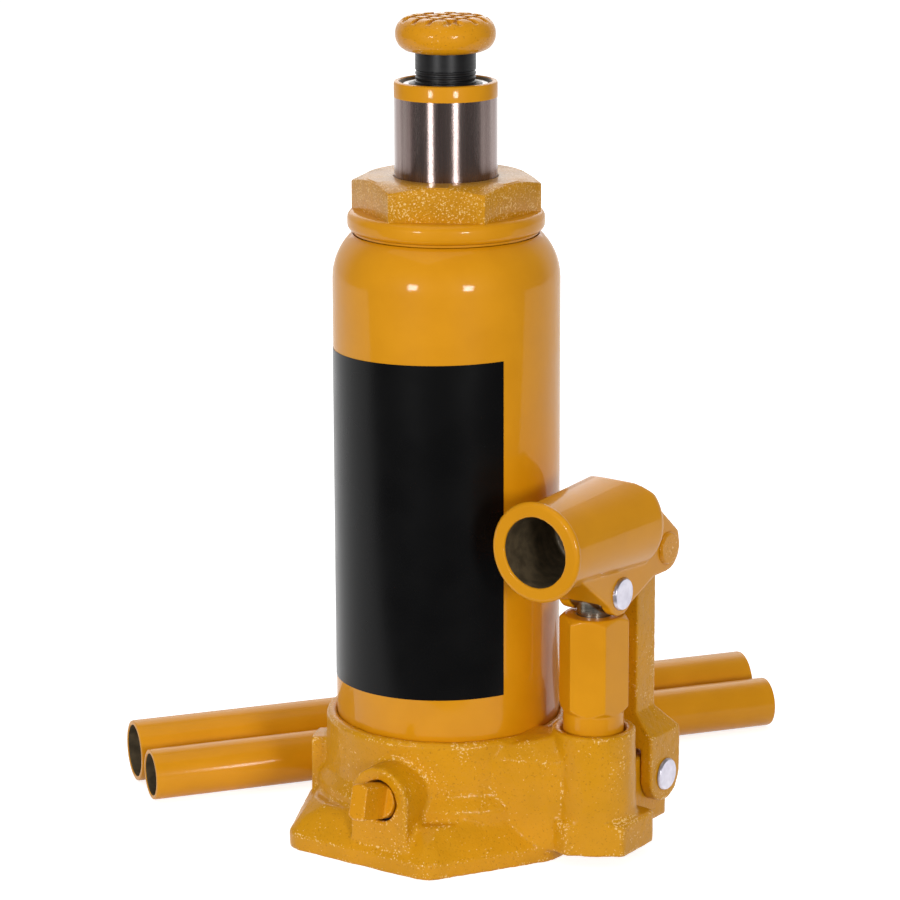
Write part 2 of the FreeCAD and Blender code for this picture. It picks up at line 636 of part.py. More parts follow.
def reservoir():
    """Reservoir tube with its spun shoulder, its seals, filler plug and label."""
    shoulder_low = "tank_top - shoulder_high"
    top_out = "tank_radius - shoulder_radius"
    top_out += " + sqrt(shoulder_radius ^ 2 - shoulder_high ^ 2)"
    inner = "(shoulder_radius - tank_wall)"
    top_in = "tank_radius - shoulder_radius"
    top_in += " + sqrt(%s ^ 2 - shoulder_high ^ 2)" % inner
    tank_low = "tank_seat + seal_thick"
    shell = turned("tank_shell", [
        ("tank_radius - tank_wall", tank_low), ("tank_radius", tank_low),
        ("tank_radius", shoulder_low), (top_out, "tank_top"), (top_in, "tank_top"),
        ("tank_radius - tank_wall", shoulder_low),
    ], {2: ("shoulder_radius", 1), 4: ("shoulder_radius - tank_wall", -1)})
    hole = filler_cylinder("tank_filler_hole", "filler_radius", "tank_radius - 5", 10)
    keep(without("reservoir_tube", shell, [hole]), "reservoir_tube")
    keep(ring("reservoir_lower_seal", "deck_radius + 0.3", "tank_radius",
              "tank_seat", tank_low), "reservoir_lower_seal")
    keep(ring("reservoir_upper_seal", top_in, top_out,
              "tank_top", "tank_top + top_seal_thick"), "reservoir_upper_seal")
    stem = filler_cylinder("filler_stem", "filler_radius", "tank_radius - tank_wall - 2",
                           "tank_wall + 3")
    flange = filler_cylinder("filler_head", "filler_flange", "tank_radius - 1", 3)
    skin = cylinder("filler_skin", "tank_radius", "tank_top", 0, 0, 0)
    head = without("filler_head_seated", flange, [skin])
    keep(joined("oil_filler_plug", [stem, head]), "oil_filler_plug")
    label = cylinder("label_blank", "tank_radius + label_thick", "label_high", 0, 0, "label_low",
                     Rotation(Vector(0, 0, 1), number("label_turn - label_span / 2")))
    bind(label, Angle="label_span")
    core = cylinder("label_core", "tank_radius", "label_high + 2", 0, 0, "label_low - 1")
    keep(without("front_label", label, [core]), "front_label")


def filler_cylinder(label, radius, start, length):
    """Return a cylinder on the oil filler's axis, from start out from the ram axis."""
    turn = number("filler_turn")
    item = cylinder(label, radius, length,
                    "(%s) * cos(filler_turn)" % start, "(%s) * sin(filler_turn)" % start,
                    "filler_height",
                    Rotation(Vector(0, 0, 1), turn).multiply(Rotation(Vector(0, 1, 0), 90)))
    return item


def cap_low():
    """Return the formula for the underside of the cap's flange."""
    return "tank_top + top_seal_thick"


def top_cap():
    """Cap with a hexagon: it guides the ram and clamps the reservoir to the base."""
    flange_low = cap_low()
    flange_top = flange_low + " + flange_high"
    hex_top = flange_top + " + cap_high"
    flange = turned("cap_round", [
        ("cylinder_radius", flange_low + " - cap_skirt"),
        ("cap_skirt_radius", flange_low + " - cap_skirt"),
        ("cap_skirt_radius", flange_low),
        ("flange_radius - flange_round", flange_low),
        ("flange_radius", flange_low + " + flange_round"),
        ("flange_radius", flange_top + " - flange_round"),
        ("flange_radius - flange_round", flange_top),
        ("cylinder_radius", flange_top),
    ], {3: ("flange_round", 1), 5: ("flange_round", 1)})
    prism = hexagon("cap_prism", "cap_flats", "cap_high + 1", "cap_turn", 0, 0, flange_top + " - 1")
    turned_top = turned("cap_turned", [
        (0, flange_top + " - 2"), ("cap_corner", flange_top + " - 2"),
        ("cap_corner", hex_top + " - cap_chamfer"), ("cap_corner - 2 * cap_chamfer", hex_top),
        (0, hex_top),
    ])
    head = shared("cap_head", prism, turned_top)
    guide = ring("cap_guide", "ram_radius + run_gap", "bore_radius", "gland_low",
                 "cylinder_top + 1")
    body = joined("cap_blank", [flange, head, guide])
    bore = cylinder("cap_bore", "ram_radius + run_gap", "through", 0, 0, "gland_low - through / 2")
    groove = ring("cap_groove", "ram_radius", "wiper_radius", "wiper_low", "wiper_low + wiper_high")
    socket = ring("cap_socket", "bore_radius", "cylinder_radius",
                  flange_low + " - 2 * cap_skirt", "cylinder_top")
    keep(without("top_cap", body, [bore, groove, socket]), "top_cap")
    keep(ring("ram_wiper_seal", "ram_radius + run_gap", "wiper_radius",
              "wiper_low", "wiper_low + wiper_high"), "ram_wiper_seal")


def pressure_cylinder():
    """Pressure cylinder, which stands on its gasket in the base."""
    low = "deck_top + gasket_thick"
    keep(ring("cylinder_gasket", "bore_radius", "cylinder_radius", "deck_top", low),
         "cylinder_gasket")
    keep(ring("pressure_cylinder", "bore_radius", "cylinder_radius", low, "cylinder_top"),
         "pressure_cylinder")


# ---------------------------------------------------------------- ram, screw and saddle

def ram():
    """Ram with the piston, cup seal, washer and nut on its lower spigot."""
    bore_low = "ram_top - ram_bore_deep"
    piston_low = "ram_low - piston_high"
    cup_low = piston_low + " - cup_high"
    washer_low = cup_low + " - washer_high"
    nut_low = washer_low + " - nut_high"
    keep(turned("ram", [
        (0, nut_low), ("spigot_radius - 1", nut_low), ("spigot_radius", nut_low + " + 1"),
        ("spigot_radius", "ram_low"), ("ram_radius", "ram_low"), ("ram_radius", "ram_top - 0.8"),
        ("ram_radius - 0.8", "ram_top"), ("ram_mouth + groove_mouth", "ram_top"),
        ("ram_mouth", "ram_top - 2 * groove_mouth"), ("ram_mouth", "ram_top - groove_mouth"),
        ("ram_bore + 0.4", "ram_top - groove_mouth"), ("ram_bore", "ram_top - 2 * groove_mouth"),
        ("ram_bore", bore_low),
        (0, bore_low + " - ram_bore / 2"),
    ]), "ram")
    keep(ring("ram_piston", "spigot_radius", "bore_radius - run_gap", piston_low, "ram_low"),
         "ram_piston")
    keep(turned("piston_cup_seal", [
        ("spigot_radius", cup_low), ("bore_radius - cup_lip", cup_low),
        ("bore_radius - cup_lip", cup_low + " + 0.2"), ("bore_radius - 2.6", cup_low + " + 2.6"),
        ("bore_radius - 1.6", cup_low + " + 0.2"), ("bore_radius - run_gap", cup_low + " + 0.2"),
        ("bore_radius - run_gap", piston_low), ("spigot_radius", piston_low),
    ]), "piston_cup_seal")
    keep(ring("cup_washer", "spigot_radius", "bore_radius - cup_lip", washer_low, cup_low),
         "cup_washer")
    nut = hexagon("nut_prism", "nut_flats", "nut_high", 0, 0, 0, nut_low)
    hole = cylinder("nut_hole", "spigot_radius", "through", 0, 0, nut_low + " - through / 2")
    keep(without("piston_nut", nut, [hole]), "piston_nut")


def screw():
    """Extension screw with its stop ring, and the saddle pressed onto it."""
    saddle_low = "ram_top + screw_out"
    thread_top = "ram_top - neck_sunk"
    screw_low = "ram_top + screw_out - screw_long"
    ring_top = screw_low + " + stop_high + 1"
    keep(turned("extension_screw", [
        (0, screw_low), ("stop_radius", screw_low), ("stop_radius", ring_top),
        ("screw_radius", ring_top), ("screw_radius", thread_top + " - 1.4"),
        ("neck_radius", thread_top), ("neck_radius", saddle_low), ("saddle_pin", saddle_low),
        ("saddle_pin", saddle_low + " + saddle_pin_high"), (0, saddle_low + " + saddle_pin_high"),
    ]), "extension_screw")
    keep(ring("screw_stop_ring", "stop_radius + run_gap", "screw_radius",
              ring_top + " - run_gap - stop_high", ring_top + " - run_gap"), "screw_stop_ring")
    top = saddle_low + " + saddle_high"
    blank = turned("saddle_blank", [
        ("saddle_pin", saddle_low), ("saddle_radius - saddle_round", saddle_low),
        ("saddle_radius", saddle_low + " + saddle_round"),
        ("saddle_radius", top + " - saddle_round"), ("saddle_radius - saddle_round", top),
        (0, top), (0, saddle_low + " + saddle_pin_high"),
        ("saddle_pin", saddle_low + " + saddle_pin_high"),
    ], {1: ("saddle_round", 1), 3: ("saddle_round", 1)})
    cuts = []
    for index, across in enumerate((-1.5, -0.5, 0.5, 1.5)):
        edge = "%s * groove_step - groove_wide / 2" % across
        floor = top + " - groove_deep"
        cuts.append(block("saddle_groove_x%d" % index, ("through", "groove_wide", "saddle_high"),
                          ("-through / 2", edge, floor)))
        cuts.append(block("saddle_groove_y%d" % index, ("groove_wide", "through", "saddle_high"),
                          (edge, "-through / 2", floor)))
    keep(without("saddle", blank, cuts), "saddle")


# ---------------------------------------------------------------- pump

def pump():
    """Pump cylinder with its gasket, and the plunger with its seal."""
    seat = "pump_seat + pump_seal_thick"
    prism = hexagon("pump_prism", "pump_flats", "hex_top - hex_low", "pump_turn",
                    "pump_x", "pump_y", "hex_low")
    corner = "pump_flats / 2 / cos(30)"
    bar = turned("pump_turned", [
        (0, seat), ("neck_pump", seat), ("neck_pump", "hex_low - 2"),
        ("pump_flats / 2", "hex_low"), (corner, "hex_low + hex_chamfer"),
        (corner, "hex_top - hex_chamfer"), ("pump_flats / 2 - 0.4", "hex_top"), (0, "hex_top"),
    ])
    place(bar, "pump_x", "pump_y", 0)
    neck = cylinder("pump_neck", "neck_pump", "hex_low - pump_seat - pump_seal_thick + 1",
                    "pump_x", "pump_y", seat)
    column = joined("pump_column", [neck, prism])
    solid = shared("pump_solid", bar, column)
    bore = cylinder("pump_bore", "plunger_radius + run_gap", "through", "pump_x", "pump_y", 0)
    keep(without("pump_cylinder", solid, [bore]), "pump_cylinder")
    gasket = ring("pump_cylinder_gasket", "plunger_radius + 0.4", "neck_pump", "pump_seat", seat)
    keep(place(gasket, "pump_x", "pump_y", 0), "pump_cylinder_gasket")
    plunger()


def plunger():
    """Plunger: a ground rod with a seal groove and an eye with a little play."""
    groove_low = "plunger_low + ring_low"
    rod = turned("plunger_rod", [
        (0, "plunger_low"), ("plunger_radius - 0.5", "plunger_low"),
        ("plunger_radius", "plunger_low + 0.5"), ("plunger_radius", groove_low),
        ("ring_groove", groove_low), ("ring_groove", groove_low + " + ring_high"),
        ("plunger_radius", groove_low + " + ring_high"), ("plunger_radius", "plunger_pin_z"),
        (0, "plunger_pin_z"),
    ])
    place(rod, "pump_x", "pump_y", 0)
    eye = cylinder("plunger_eye", "eye_radius", "2 * (slot_half - side_gap)",
                   "pump_x - slot_half + side_gap", "pump_y", "plunger_pin_z", ALONG_X)
    reach = "pin_radius + pivot_gap"
    left = "pump_x - through / 2"
    slot = [
        cylinder("plunger_slot_front", reach, "through", left, "pump_y - pivot_play",
                 "plunger_pin_z", ALONG_X),
        cylinder("plunger_slot_back", reach, "through", left, "pump_y + pivot_play",
                 "plunger_pin_z", ALONG_X),
        block("plunger_slot_middle", ("through", "2 * pivot_play", "2 * (%s)" % reach),
              (left, "pump_y - pivot_play", "plunger_pin_z - (%s)" % reach)),
    ]
    keep(without("pump_plunger", joined("plunger_blank", [rod, eye]), slot), "pump_plunger")
    seal = ring("pump_plunger_seal", "ring_groove", "plunger_radius", groove_low,
                groove_low + " + ring_high")
    keep(place(seal, "pump_x", "pump_y", 0), "pump_plunger_seal")


# ---------------------------------------------------------------- lever and link

def plunger_pin_y():
    """Return the formula for the plunger pin, which rests at the rear of its play."""
    return "pump_y + pivot_play - 0.1"


def pin(label, half, y, height):
    """Return a headed pin along X, its head outside on the +X side."""
    item = joined(label, [
        cylinder(label + "_shank", "pin_radius", "2 * (%s) + clip_thick + 1" % half,
                 "pump_x - (%s) - clip_thick - 1" % half, y, height, ALONG_X),
        cone(label + "_head", "head_radius", "head_radius - 0.5", "head_thick",
             "pump_x + (%s)" % half, y, height, ALONG_X),
    ])
    return keep(item, label)


def pin_clip(label, half, y, height):
    """Return the retaining clip that sits on a pin's -X end."""
    disc = cylinder(label + "_disc", "clip_radius", "clip_thick",
                    "pump_x - (%s) - clip_thick" % half, y, height, ALONG_X)
    left = "pump_x - through / 2"
    hole = cylinder(label + "_hole", "pin_radius", "through", left, y, height, ALONG_X)
    slit = block(label + "_slit", ("through", "pin_radius", "2 * clip_radius"),
                 (left, "(%s) - pin_radius / 2" % y, height))
    return without(label, disc, [hole, slit])


def handle_socket():
    """Handle socket: a barrel for the handle, and two cheeks that carry both upper pins."""
    long = "socket_front + socket_back"
    neck = long + " - rim_wide"
    blank = turned("socket_barrel_blank", [
        (0, 0), ("barrel_radius - barrel_end", 0), ("barrel_radius", "barrel_end"),
        ("barrel_slim", neck), ("rim_radius - 0.5", neck), ("rim_radius", neck + " + 0.5"),
        ("rim_radius", long + " - 0.8"), ("rim_radius - 0.8", long),
        ("socket_bore", long), ("socket_bore", long + " - socket_deep"),
        (0, long + " - socket_deep"),
    ], {1: ("barrel_end", 1)})
    place(blank, "pump_x", "socket_back", "socket_z", TO_FRONT)
    slope_high = "(socket_z + barrel_radius - hood_drop)"
    slope_start = "(pump_y + hood_top)"
    back = "(link_y + cheek_boss)"
    slope_end = "(%s - hood_inset)" % back
    slope_low = "(link_top_z + hood_toe)"
    shroud = across_plate("socket_shroud", [
        ("-socket_front - 1", "socket_z - 2 * barrel_radius"),
        (back, "socket_z - 2 * barrel_radius"), (back, "link_top_z"), (slope_end, slope_low),
        (slope_start, slope_high), ("pump_y", "socket_z + barrel_radius + 1"),
        ("-socket_front - 1", "socket_z + barrel_radius + 1"),
    ], None, "2 * barrel_radius")
    barrel = shared("socket_barrel", blank, shroud)
    cheeks = across_plate("socket_cheeks", [
        ("-socket_front + 10", "socket_z - 9"), ("pump_y - 3.1", "plunger_pin_z - 4.6"),
        ("pump_y + 5.4", "plunger_pin_z - 4.4"), ("link_y - 7", "link_top_z - 7"),
        ("link_y", "link_top_z - cheek_boss"), (back, "link_top_z"), (slope_end, slope_low),
        ("%s + hood_share * (%s - %s)" % (slope_start, slope_end, slope_start),
         "%s + hood_share * (%s - %s)" % (slope_high, slope_low, slope_high)),
        ("-socket_front + 18", "socket_z + cheek_half"),
    ], {4: ("cheek_boss", 1)}, "cheek_half")
    low_boss = cylinder("socket_low_boss", "cheek_low_boss", "2 * cheek_half",
                        "pump_x - cheek_half", plunger_pin_y(), "plunger_pin_z", ALONG_X)
    slot_top = plunger_slot_top()
    cuts = [
        block("socket_plunger_slot", ("2 * slot_half", "through", "through"),
              ("pump_x - slot_half", "pump_y - eye_radius - side_gap", slot_top + " - through")),
        block("socket_link_slot", ("2 * slot_half", "through", "through"),
              ("pump_x - slot_half", "link_y - link_eye - link_room",
               "link_top_z + link_eye + side_gap - through")),
        cylinder("socket_plunger_hole", "pin_radius", "through", "pump_x - through / 2",
                 plunger_pin_y(), "plunger_pin_z", ALONG_X),
        cylinder("socket_link_hole", "pin_radius", "through", "pump_x - through / 2", "link_y",
                 "link_top_z", ALONG_X),
        cylinder("socket_clear_bore", "socket_bore", "socket_deep + 1", "pump_x",
                 "-socket_front + socket_deep", "socket_z", TO_FRONT),
    ]
    body = joined("socket_blank", [barrel, cheeks, low_boss])
    keep(without("handle_socket", body, cuts), "handle_socket")


def plunger_slot_top():
    """Return the formula for the roof over the plunger's eye."""
    return "plunger_pin_z + eye_radius + side_gap"


def link_arm():
    """Forged link: an upper eye, a square shank and a fork that straddles the base lug."""
    side = across_plate("link_side", [
        ("link_y - fork_radius", "link_base_z"), ("link_y", "link_base_z - fork_radius"),
        ("link_y + fork_radius", "link_base_z"),
        ("link_y + fork_radius", "flare_low"), ("link_y + shank_back", "flare_top"),
        ("link_y + shank_back", "link_top_z"), ("link_y - shank_back", "link_top_z"),
        ("link_y - shank_front", "link_top_z - link_eye"), ("link_y - shank_front", "flare_top"),
        ("link_y - fork_radius", "flare_low"),
    ], {0: ("fork_radius", 1), 1: ("fork_radius", 1)}, "fork_half + 1")
    front = plate("link_front", "XZ_Plane", [
        ("-fork_half", "link_base_z - fork_radius - 1"),
        ("fork_half", "link_base_z - fork_radius - 1"), ("fork_half", "flare_low"),
        ("shank_half", "flare_top"), ("shank_half", "link_top_z + 8"),
        ("-shank_half", "link_top_z + 8"), ("-shank_half", "flare_top"),
        ("-fork_half", "flare_low"),
    ], None, "-link_y - through / 2", "through")
    bind(front, Placement__Base__x="pump_x")
    shank = shared("link_shank", side, front)
    eye = cylinder("link_upper_eye", "link_eye", "2 * (slot_half - side_gap)",
                   "pump_x - slot_half + side_gap", "link_y", "link_top_z", ALONG_X)
    gap = "lug_half + side_gap"
    cuts = [
        block("link_fork_slot", ("2 * (%s)" % gap, "through", "through"),
              ("pump_x - (%s)" % gap, "link_y - through / 2", "fork_slot - through")),
        cylinder("link_lower_hole", "pin_radius + run_gap", "through", "pump_x - through / 2",
                 "link_y", "link_base_z", ALONG_X),
        cylinder("link_upper_hole", "pin_radius + run_gap", "through", "pump_x - through / 2",
                 "link_y", "link_top_z", ALONG_X),
    ]
    keep(without("link_arm", joined("link_blank", [shank, eye]), cuts), "link_arm")


def lever():
    """Socket, link and their pins and clips."""
    handle_socket()
    link_arm()
    outer = "fork_half + run_gap"
    pin("plunger_pin", "cheek_half", plunger_pin_y(), "plunger_pin_z")
    pin("socket_link_pin", "cheek_half", "link_y", "link_top_z")
    pin("link_base_pin", outer, "link_y", "link_base_z")
    keep(pin_clip("plunger_pin_clip", "cheek_half", plunger_pin_y(), "plunger_pin_z"),
         "plunger_pin_clip")
    keep(pin_clip("socket_link_pin_clip", "cheek_half", "link_y", "link_top_z"),
         "socket_link_pin_clip")
    keep(pin_clip("link_base_pin_clip", outer, "link_y", "link_base_z"), "link_base_pin_clip")


# ---------------------------------------------------------------- valves

def on_valve(item):
    """Place an object whose own +Z is the release valve's outward axis."""
    return place(item, "valve_x", "-valve_front", "valve_z", valve_turn())


def release_valve():
    """Release valve with a flat tang, its O-ring and the ball that it holds on the seat."""
    thread_low = "-valve_thread_deep + side_gap"
    seal_low = "-valve_mouth_deep + valve_seal_low"
    seal_top = seal_low + " + valve_seal_high"
    stem = turned("valve_stem", [
        (0, thread_low), ("valve_thread - 1.6", thread_low),
        ("valve_thread - run_gap", thread_low + " + 1.6"), ("valve_thread - run_gap", seal_low),
        ("valve_neck", seal_low), ("valve_neck", seal_top), ("valve_radius", seal_top),
        ("valve_radius", "tang_out - 0.5"), ("valve_radius - 0.5", "tang_out"), (0, "tang_out"),
    ])
    on_valve(stem)
    cheeks = []
    for name, side in (("right", "tang_wide / 2"), ("left", "-tang_wide / 2 - tang_tool")):
        tool = block("tang_" + name, ("tang_tool", "tang_tool", "tang_tool"), (0, 0, 0))
        cheeks.append(place(tool, "valve_x + " + side,
                            "-valve_front - tang_tool / 2 * sin(valve_tilt)",
                            "valve_z - tang_tool / 2 * cos(valve_tilt)", valve_turn()))
    keep(without("release_valve", stem, cheeks), "release_valve")
    seal = ring("release_valve_seal", "valve_neck", "valve_mouth - run_gap", seal_low, seal_top)
    keep(on_valve(seal), "release_valve_seal")
    seat = "valve_thread_deep - side_gap + ball_radius"
    keep(ball("release_valve_ball", "ball_radius", *valve_place(seat)), "release_valve_ball")


def check_valves():
    """Suction and delivery balls, the delivery spring and its retainer, and the strainer."""
    outlet_y = "pump_y - outlet_side"
    keep(ball("suction_check_ball", "ball_radius", "pump_x", "pump_y",
              chamber_floor() + " - pocket_deep + ball_radius"), "suction_check_ball")
    low = "pump_seat - outlet_seat"
    keep(ball("delivery_check_ball", "ball_radius", "outlet_x", outlet_y, low + " + ball_radius"),
         "delivery_check_ball")
    spring_low = low + " + 2 * ball_radius"
    spring_top = "deck_top - retainer_thick"
    wire = number("spring_wire")
    coil = number("spring_coil")
    rise = number(spring_top) - number(spring_low) - 2 * wire
    helix = Part.makeHelix(rise / 2, rise, coil)
    section = Part.Wire(Part.makeCircle(wire, Vector(coil, 0, 0), Vector(0, 1, 0)))
    spring = doc.addObject("Part::Feature", "delivery_ball_spring")
    spring.Shape = Part.Wire(helix).makePipeShell([section], True, True)
    spring.Placement = Placement(
        Vector(number("outlet_x"), number(outlet_y), number(spring_low) + wire), Rotation())
    keep(spring, "delivery_ball_spring")
    retainer = ring("delivery_ball_retainer", "seat_radius",
                    "ball_radius + pocket_gap + retainer_rim", spring_top, "deck_top")
    keep(place(retainer, "outlet_x", outlet_y, 0), "delivery_ball_retainer")
    strainer = cylinder("suction_strainer", "strainer_radius", "strainer_thick",
                        *inlet(), "deck_top")
    keep(strainer, "suction_strainer")


# ---------------------------------------------------------------- handle

def handle_tube(label, outer, bore, offset):
    """Return a handle tube that lies on the floor behind the jack."""
    blank = cylinder(label + "_outside", outer, "handle_long")
    hole = cylinder(label + "_inside", bore, "handle_long + 2", 0, 0, -1)
    tube = without(label, blank, [hole])
    turn = number("handle_turn")
    along = Vector(math.cos(math.radians(turn)), math.sin(math.radians(turn)), 0)
    tube.Placement = Placement(Vector(0, 0, 0), Rotation(Vector(0, 0, 1), along))
    bind(tube,
         Placement__Base__x="handle_start * cos(handle_turn) - (%s) * sin(handle_turn)" % offset,
         Placement__Base__y="handle_start * sin(handle_turn) + (%s) * cos(handle_turn)" % offset,
         Placement__Base__z=outer)
    return keep(tube, label)


def export():
    """Check every object and every sub-part, then write one STEP file for each sub-part."""
    doc.recompute()
    for item in doc.Objects:
        if "Invalid" in item.State or "Error" in item.State:
            raise RuntimeError("failed: %s %s" % (item.Label, item.State))
    for item in NODES:
        if item.Shape.isNull() or not item.Shape.isValid():
            raise RuntimeError("bad shape: " + item.Label)
    for item in NODES:
        item.Shape.exportStep("parts/%s.step" % item.Label)
        print(item.Label, len(item.Shape.Solids), round(item.Shape.Volume, 1))


keep(base_casting(), "base_casting")
reservoir()
top_cap()
pressure_cylinder()
ram()
screw()
pump()
lever()
release_valve()
check_valves()
handle_tube("handle_upper", "thin_radius", "thin_bore", "thin_off")
handle_tube("handle_lower", "thick_radius", "thick_bore", "thick_off")
export()
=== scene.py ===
"""Hydraulic bottle jack: dressed pieces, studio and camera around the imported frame."""

import json
import logging
import math
from dataclasses import dataclass
from enum import Enum
from typing import Sequence

import bmesh
import bpy
from mathutils import Matrix, Vector, noise


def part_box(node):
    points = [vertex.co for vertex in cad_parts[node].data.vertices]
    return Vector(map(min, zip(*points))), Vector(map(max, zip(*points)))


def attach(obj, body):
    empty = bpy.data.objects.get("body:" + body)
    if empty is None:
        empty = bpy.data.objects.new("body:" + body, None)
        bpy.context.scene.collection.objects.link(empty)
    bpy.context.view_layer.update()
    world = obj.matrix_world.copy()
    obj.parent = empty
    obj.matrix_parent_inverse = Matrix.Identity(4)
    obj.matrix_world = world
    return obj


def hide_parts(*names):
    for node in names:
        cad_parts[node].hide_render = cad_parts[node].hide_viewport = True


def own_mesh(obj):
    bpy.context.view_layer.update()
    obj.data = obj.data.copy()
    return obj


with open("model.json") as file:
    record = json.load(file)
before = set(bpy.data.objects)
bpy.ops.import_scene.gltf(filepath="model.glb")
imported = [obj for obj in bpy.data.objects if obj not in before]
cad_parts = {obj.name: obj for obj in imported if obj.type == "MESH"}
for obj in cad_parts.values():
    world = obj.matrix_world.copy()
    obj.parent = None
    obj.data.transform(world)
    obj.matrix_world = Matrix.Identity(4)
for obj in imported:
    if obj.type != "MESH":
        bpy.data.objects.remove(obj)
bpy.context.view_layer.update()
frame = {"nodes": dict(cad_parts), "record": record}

LOG = logging.getLogger("bottle_jack")
MM = 0.001
WELD = 1e-7  # metres between corners that are one
SAME = 0.01  # mm between radii that count as equal
CREASE = 38.0  # degrees between faces that shade as an edge
ROUND_STEPS = 3
NOISE_LOW = 0.35
NOISE_HIGH = 0.65
UP = Vector((0, 0, 1))
Color = tuple[float, float, float]
Profile = Sequence[tuple[float, float]]


# ---------------------------------------------------------------- finishes

class Grain(Enum):
    """How a texture's pattern is stretched over a piece."""

    EVEN = (1.0, 1.0, 1.0)
    RINGS = (0.02, 0.02, 1.0)
    LENGTHWISE = (1.0, 1.0, 0.03)


class Shader:
    """A material's node tree, with short calls that add nodes and join them."""

    FLAT = 0.5
    NEARLY_FLAT = 0.012

    def __init__(self, name: str) -> None:
        """Start a material with one Principled surface.

        Args:
            name: The material's name.
        """
        self.material = bpy.data.materials.new(name)
        self.material.use_nodes = True
        self.tree = self.material.node_tree
        self.tree.nodes.clear()
        self.surface = self.add("ShaderNodeBsdfPrincipled")
        self.place = self.add("ShaderNodeTexCoord")
        output = self.add("ShaderNodeOutputMaterial")
        self.join(self.surface, "BSDF", output, "Surface")

    def add(self, kind: str, **values: object) -> bpy.types.Node:
        """Add a node and set its inputs.

        Args:
            kind: The node's type name.
            **values: Inputs by name, with underscores for spaces.

        Returns:
            The new node.
        """
        node = self.tree.nodes.new(kind)
        for name, value in values.items():
            node.inputs[name.replace("_", " ")].default_value = value
        return node

    def join(self, source: bpy.types.Node, out: str | int, target: bpy.types.Node,
             into: str | int) -> None:
        """Join one node's output to another's input.

        Args:
            source: The node that gives the value.
            out: Its output, by name or number.
            target: The node that takes the value.
            into: Its input, by name or number.
        """
        self.tree.links.new(source.outputs[out], target.inputs[into])

    def pattern(self, size: float, grain: Grain = Grain.EVEN, detail: float = 2.0,
                rough: float = 0.5) -> bpy.types.Node:
        """Add a noise pattern in the object's own space.

        Args:
            size: Size of the pattern's features, mm.
            grain: How the pattern is stretched.
            detail: Octaves of finer noise.
            rough: Strength of the finer octaves.

        Returns:
            The noise node.
        """
        mapping = self.add("ShaderNodeMapping", Scale=grain.value)
        self.join(self.place, "Object", mapping, "Vector")
        spots = self.add("ShaderNodeTexNoise", Scale=1.0 / (size * MM), Detail=detail,
                         Roughness=rough)
        self.join(mapping, "Vector", spots, "Vector")
        return spots

    def peaks(self, source: bpy.types.Node, start: float, end: float) -> bpy.types.Node:
        """Pick out the part of a pattern past a value.

        Args:
            source: The pattern.
            start: Value where the mask is 0.
            end: Value where the mask is 1. It lies below start to pick out hollows.

        Returns:
            A node whose first output is the mask.
        """
        mask = self.add("ShaderNodeMapRange", From_Min=start, From_Max=end)
        self.join(source, 0, mask, "Value")
        return mask

    def gathered(self, source: bpy.types.Node, size: float, share: float) -> bpy.types.Node:
        """Add a slow pattern to a fine one, so that its peaks gather in patches.

        Args:
            source: The fine pattern.
            size: Size of the patches, mm.
            share: Weight of the patches.

        Returns:
            A node whose first output is the sum.
        """
        scaled = self.add("ShaderNodeMath")
        scaled.operation = "MULTIPLY_ADD"
        self.join(self.pattern(size, detail=1.0), 0, scaled, 0)
        scaled.inputs[1].default_value = share
        scaled.inputs[2].default_value = -share / 2
        both = self.add("ShaderNodeMath")
        both.operation = "ADD"
        self.join(source, 0, both, 0)
        self.join(scaled, 0, both, 1)
        return both

    def edges(self, source: bpy.types.Node, share: float) -> bpy.types.Node:
        """Lift a pattern along the form's ridges and inner corners.

        Args:
            source: The pattern.
            share: How far it is lifted at a sharp edge.

        Returns:
            A node whose first output is the lifted pattern.
        """
        form = self.add("ShaderNodeNewGeometry")
        bend = self.add("ShaderNodeMath")
        bend.operation = "COMPARE"
        self.join(form, "Pointiness", bend, 0)
        bend.inputs[1].default_value = self.FLAT
        bend.inputs[2].default_value = self.NEARLY_FLAT
        lifted = self.add("ShaderNodeMath")
        lifted.operation = "MULTIPLY_ADD"
        self.join(bend, 0, lifted, 0)
        lifted.inputs[1].default_value = -share
        self.join(source, 0, lifted, 2)
        return lifted

    def fleck(self, mask: bpy.types.Node, color: Color, share: float) -> None:
        """Lay a second colour over the first where a mask is high.

        Args:
            mask: A node whose first output is the mask.
            color: The second colour.
            share: Most that it covers.
        """
        under = self.surface.inputs["Base Color"].links[0].from_node
        amount = self.add("ShaderNodeMath")
        amount.operation = "MULTIPLY"
        amount.inputs[1].default_value = share
        self.join(mask, 0, amount, 0)
        blend = self.add("ShaderNodeMixRGB", Color2=(*color, 1))
        self.join(amount, 0, blend, "Fac")
        self.join(under, "Color", blend, "Color1")
        self.join(blend, "Color", self.surface, "Base Color")

    def tint(self, source: bpy.types.Node, low: Color, high: Color) -> None:
        """Colour the surface between two colours by a pattern.

        Args:
            source: The pattern.
            low: Colour where the pattern is low.
            high: Colour where the pattern is high.
        """
        ramp = self.add("ShaderNodeValToRGB")
        for stop, place, color in zip(ramp.color_ramp.elements, (NOISE_LOW, NOISE_HIGH),
                                      (low, high)):
            stop.position = place
            stop.color = (*color, 1)
        self.join(source, "Fac", ramp, "Fac")
        self.join(ramp, "Color", self.surface, "Base Color")

    def gloss(self, source: bpy.types.Node, low: float, high: float) -> None:
        """Vary the roughness between two values by a pattern.

        Args:
            source: The pattern.
            low: Roughness where the pattern is low.
            high: Roughness where the pattern is high.
        """
        spread = self.add("ShaderNodeMapRange", From_Min=NOISE_LOW, From_Max=NOISE_HIGH,
                          To_Min=low, To_Max=high)
        self.join(source, "Fac", spread, "Value")
        self.join(spread, "Result", self.surface, "Roughness")

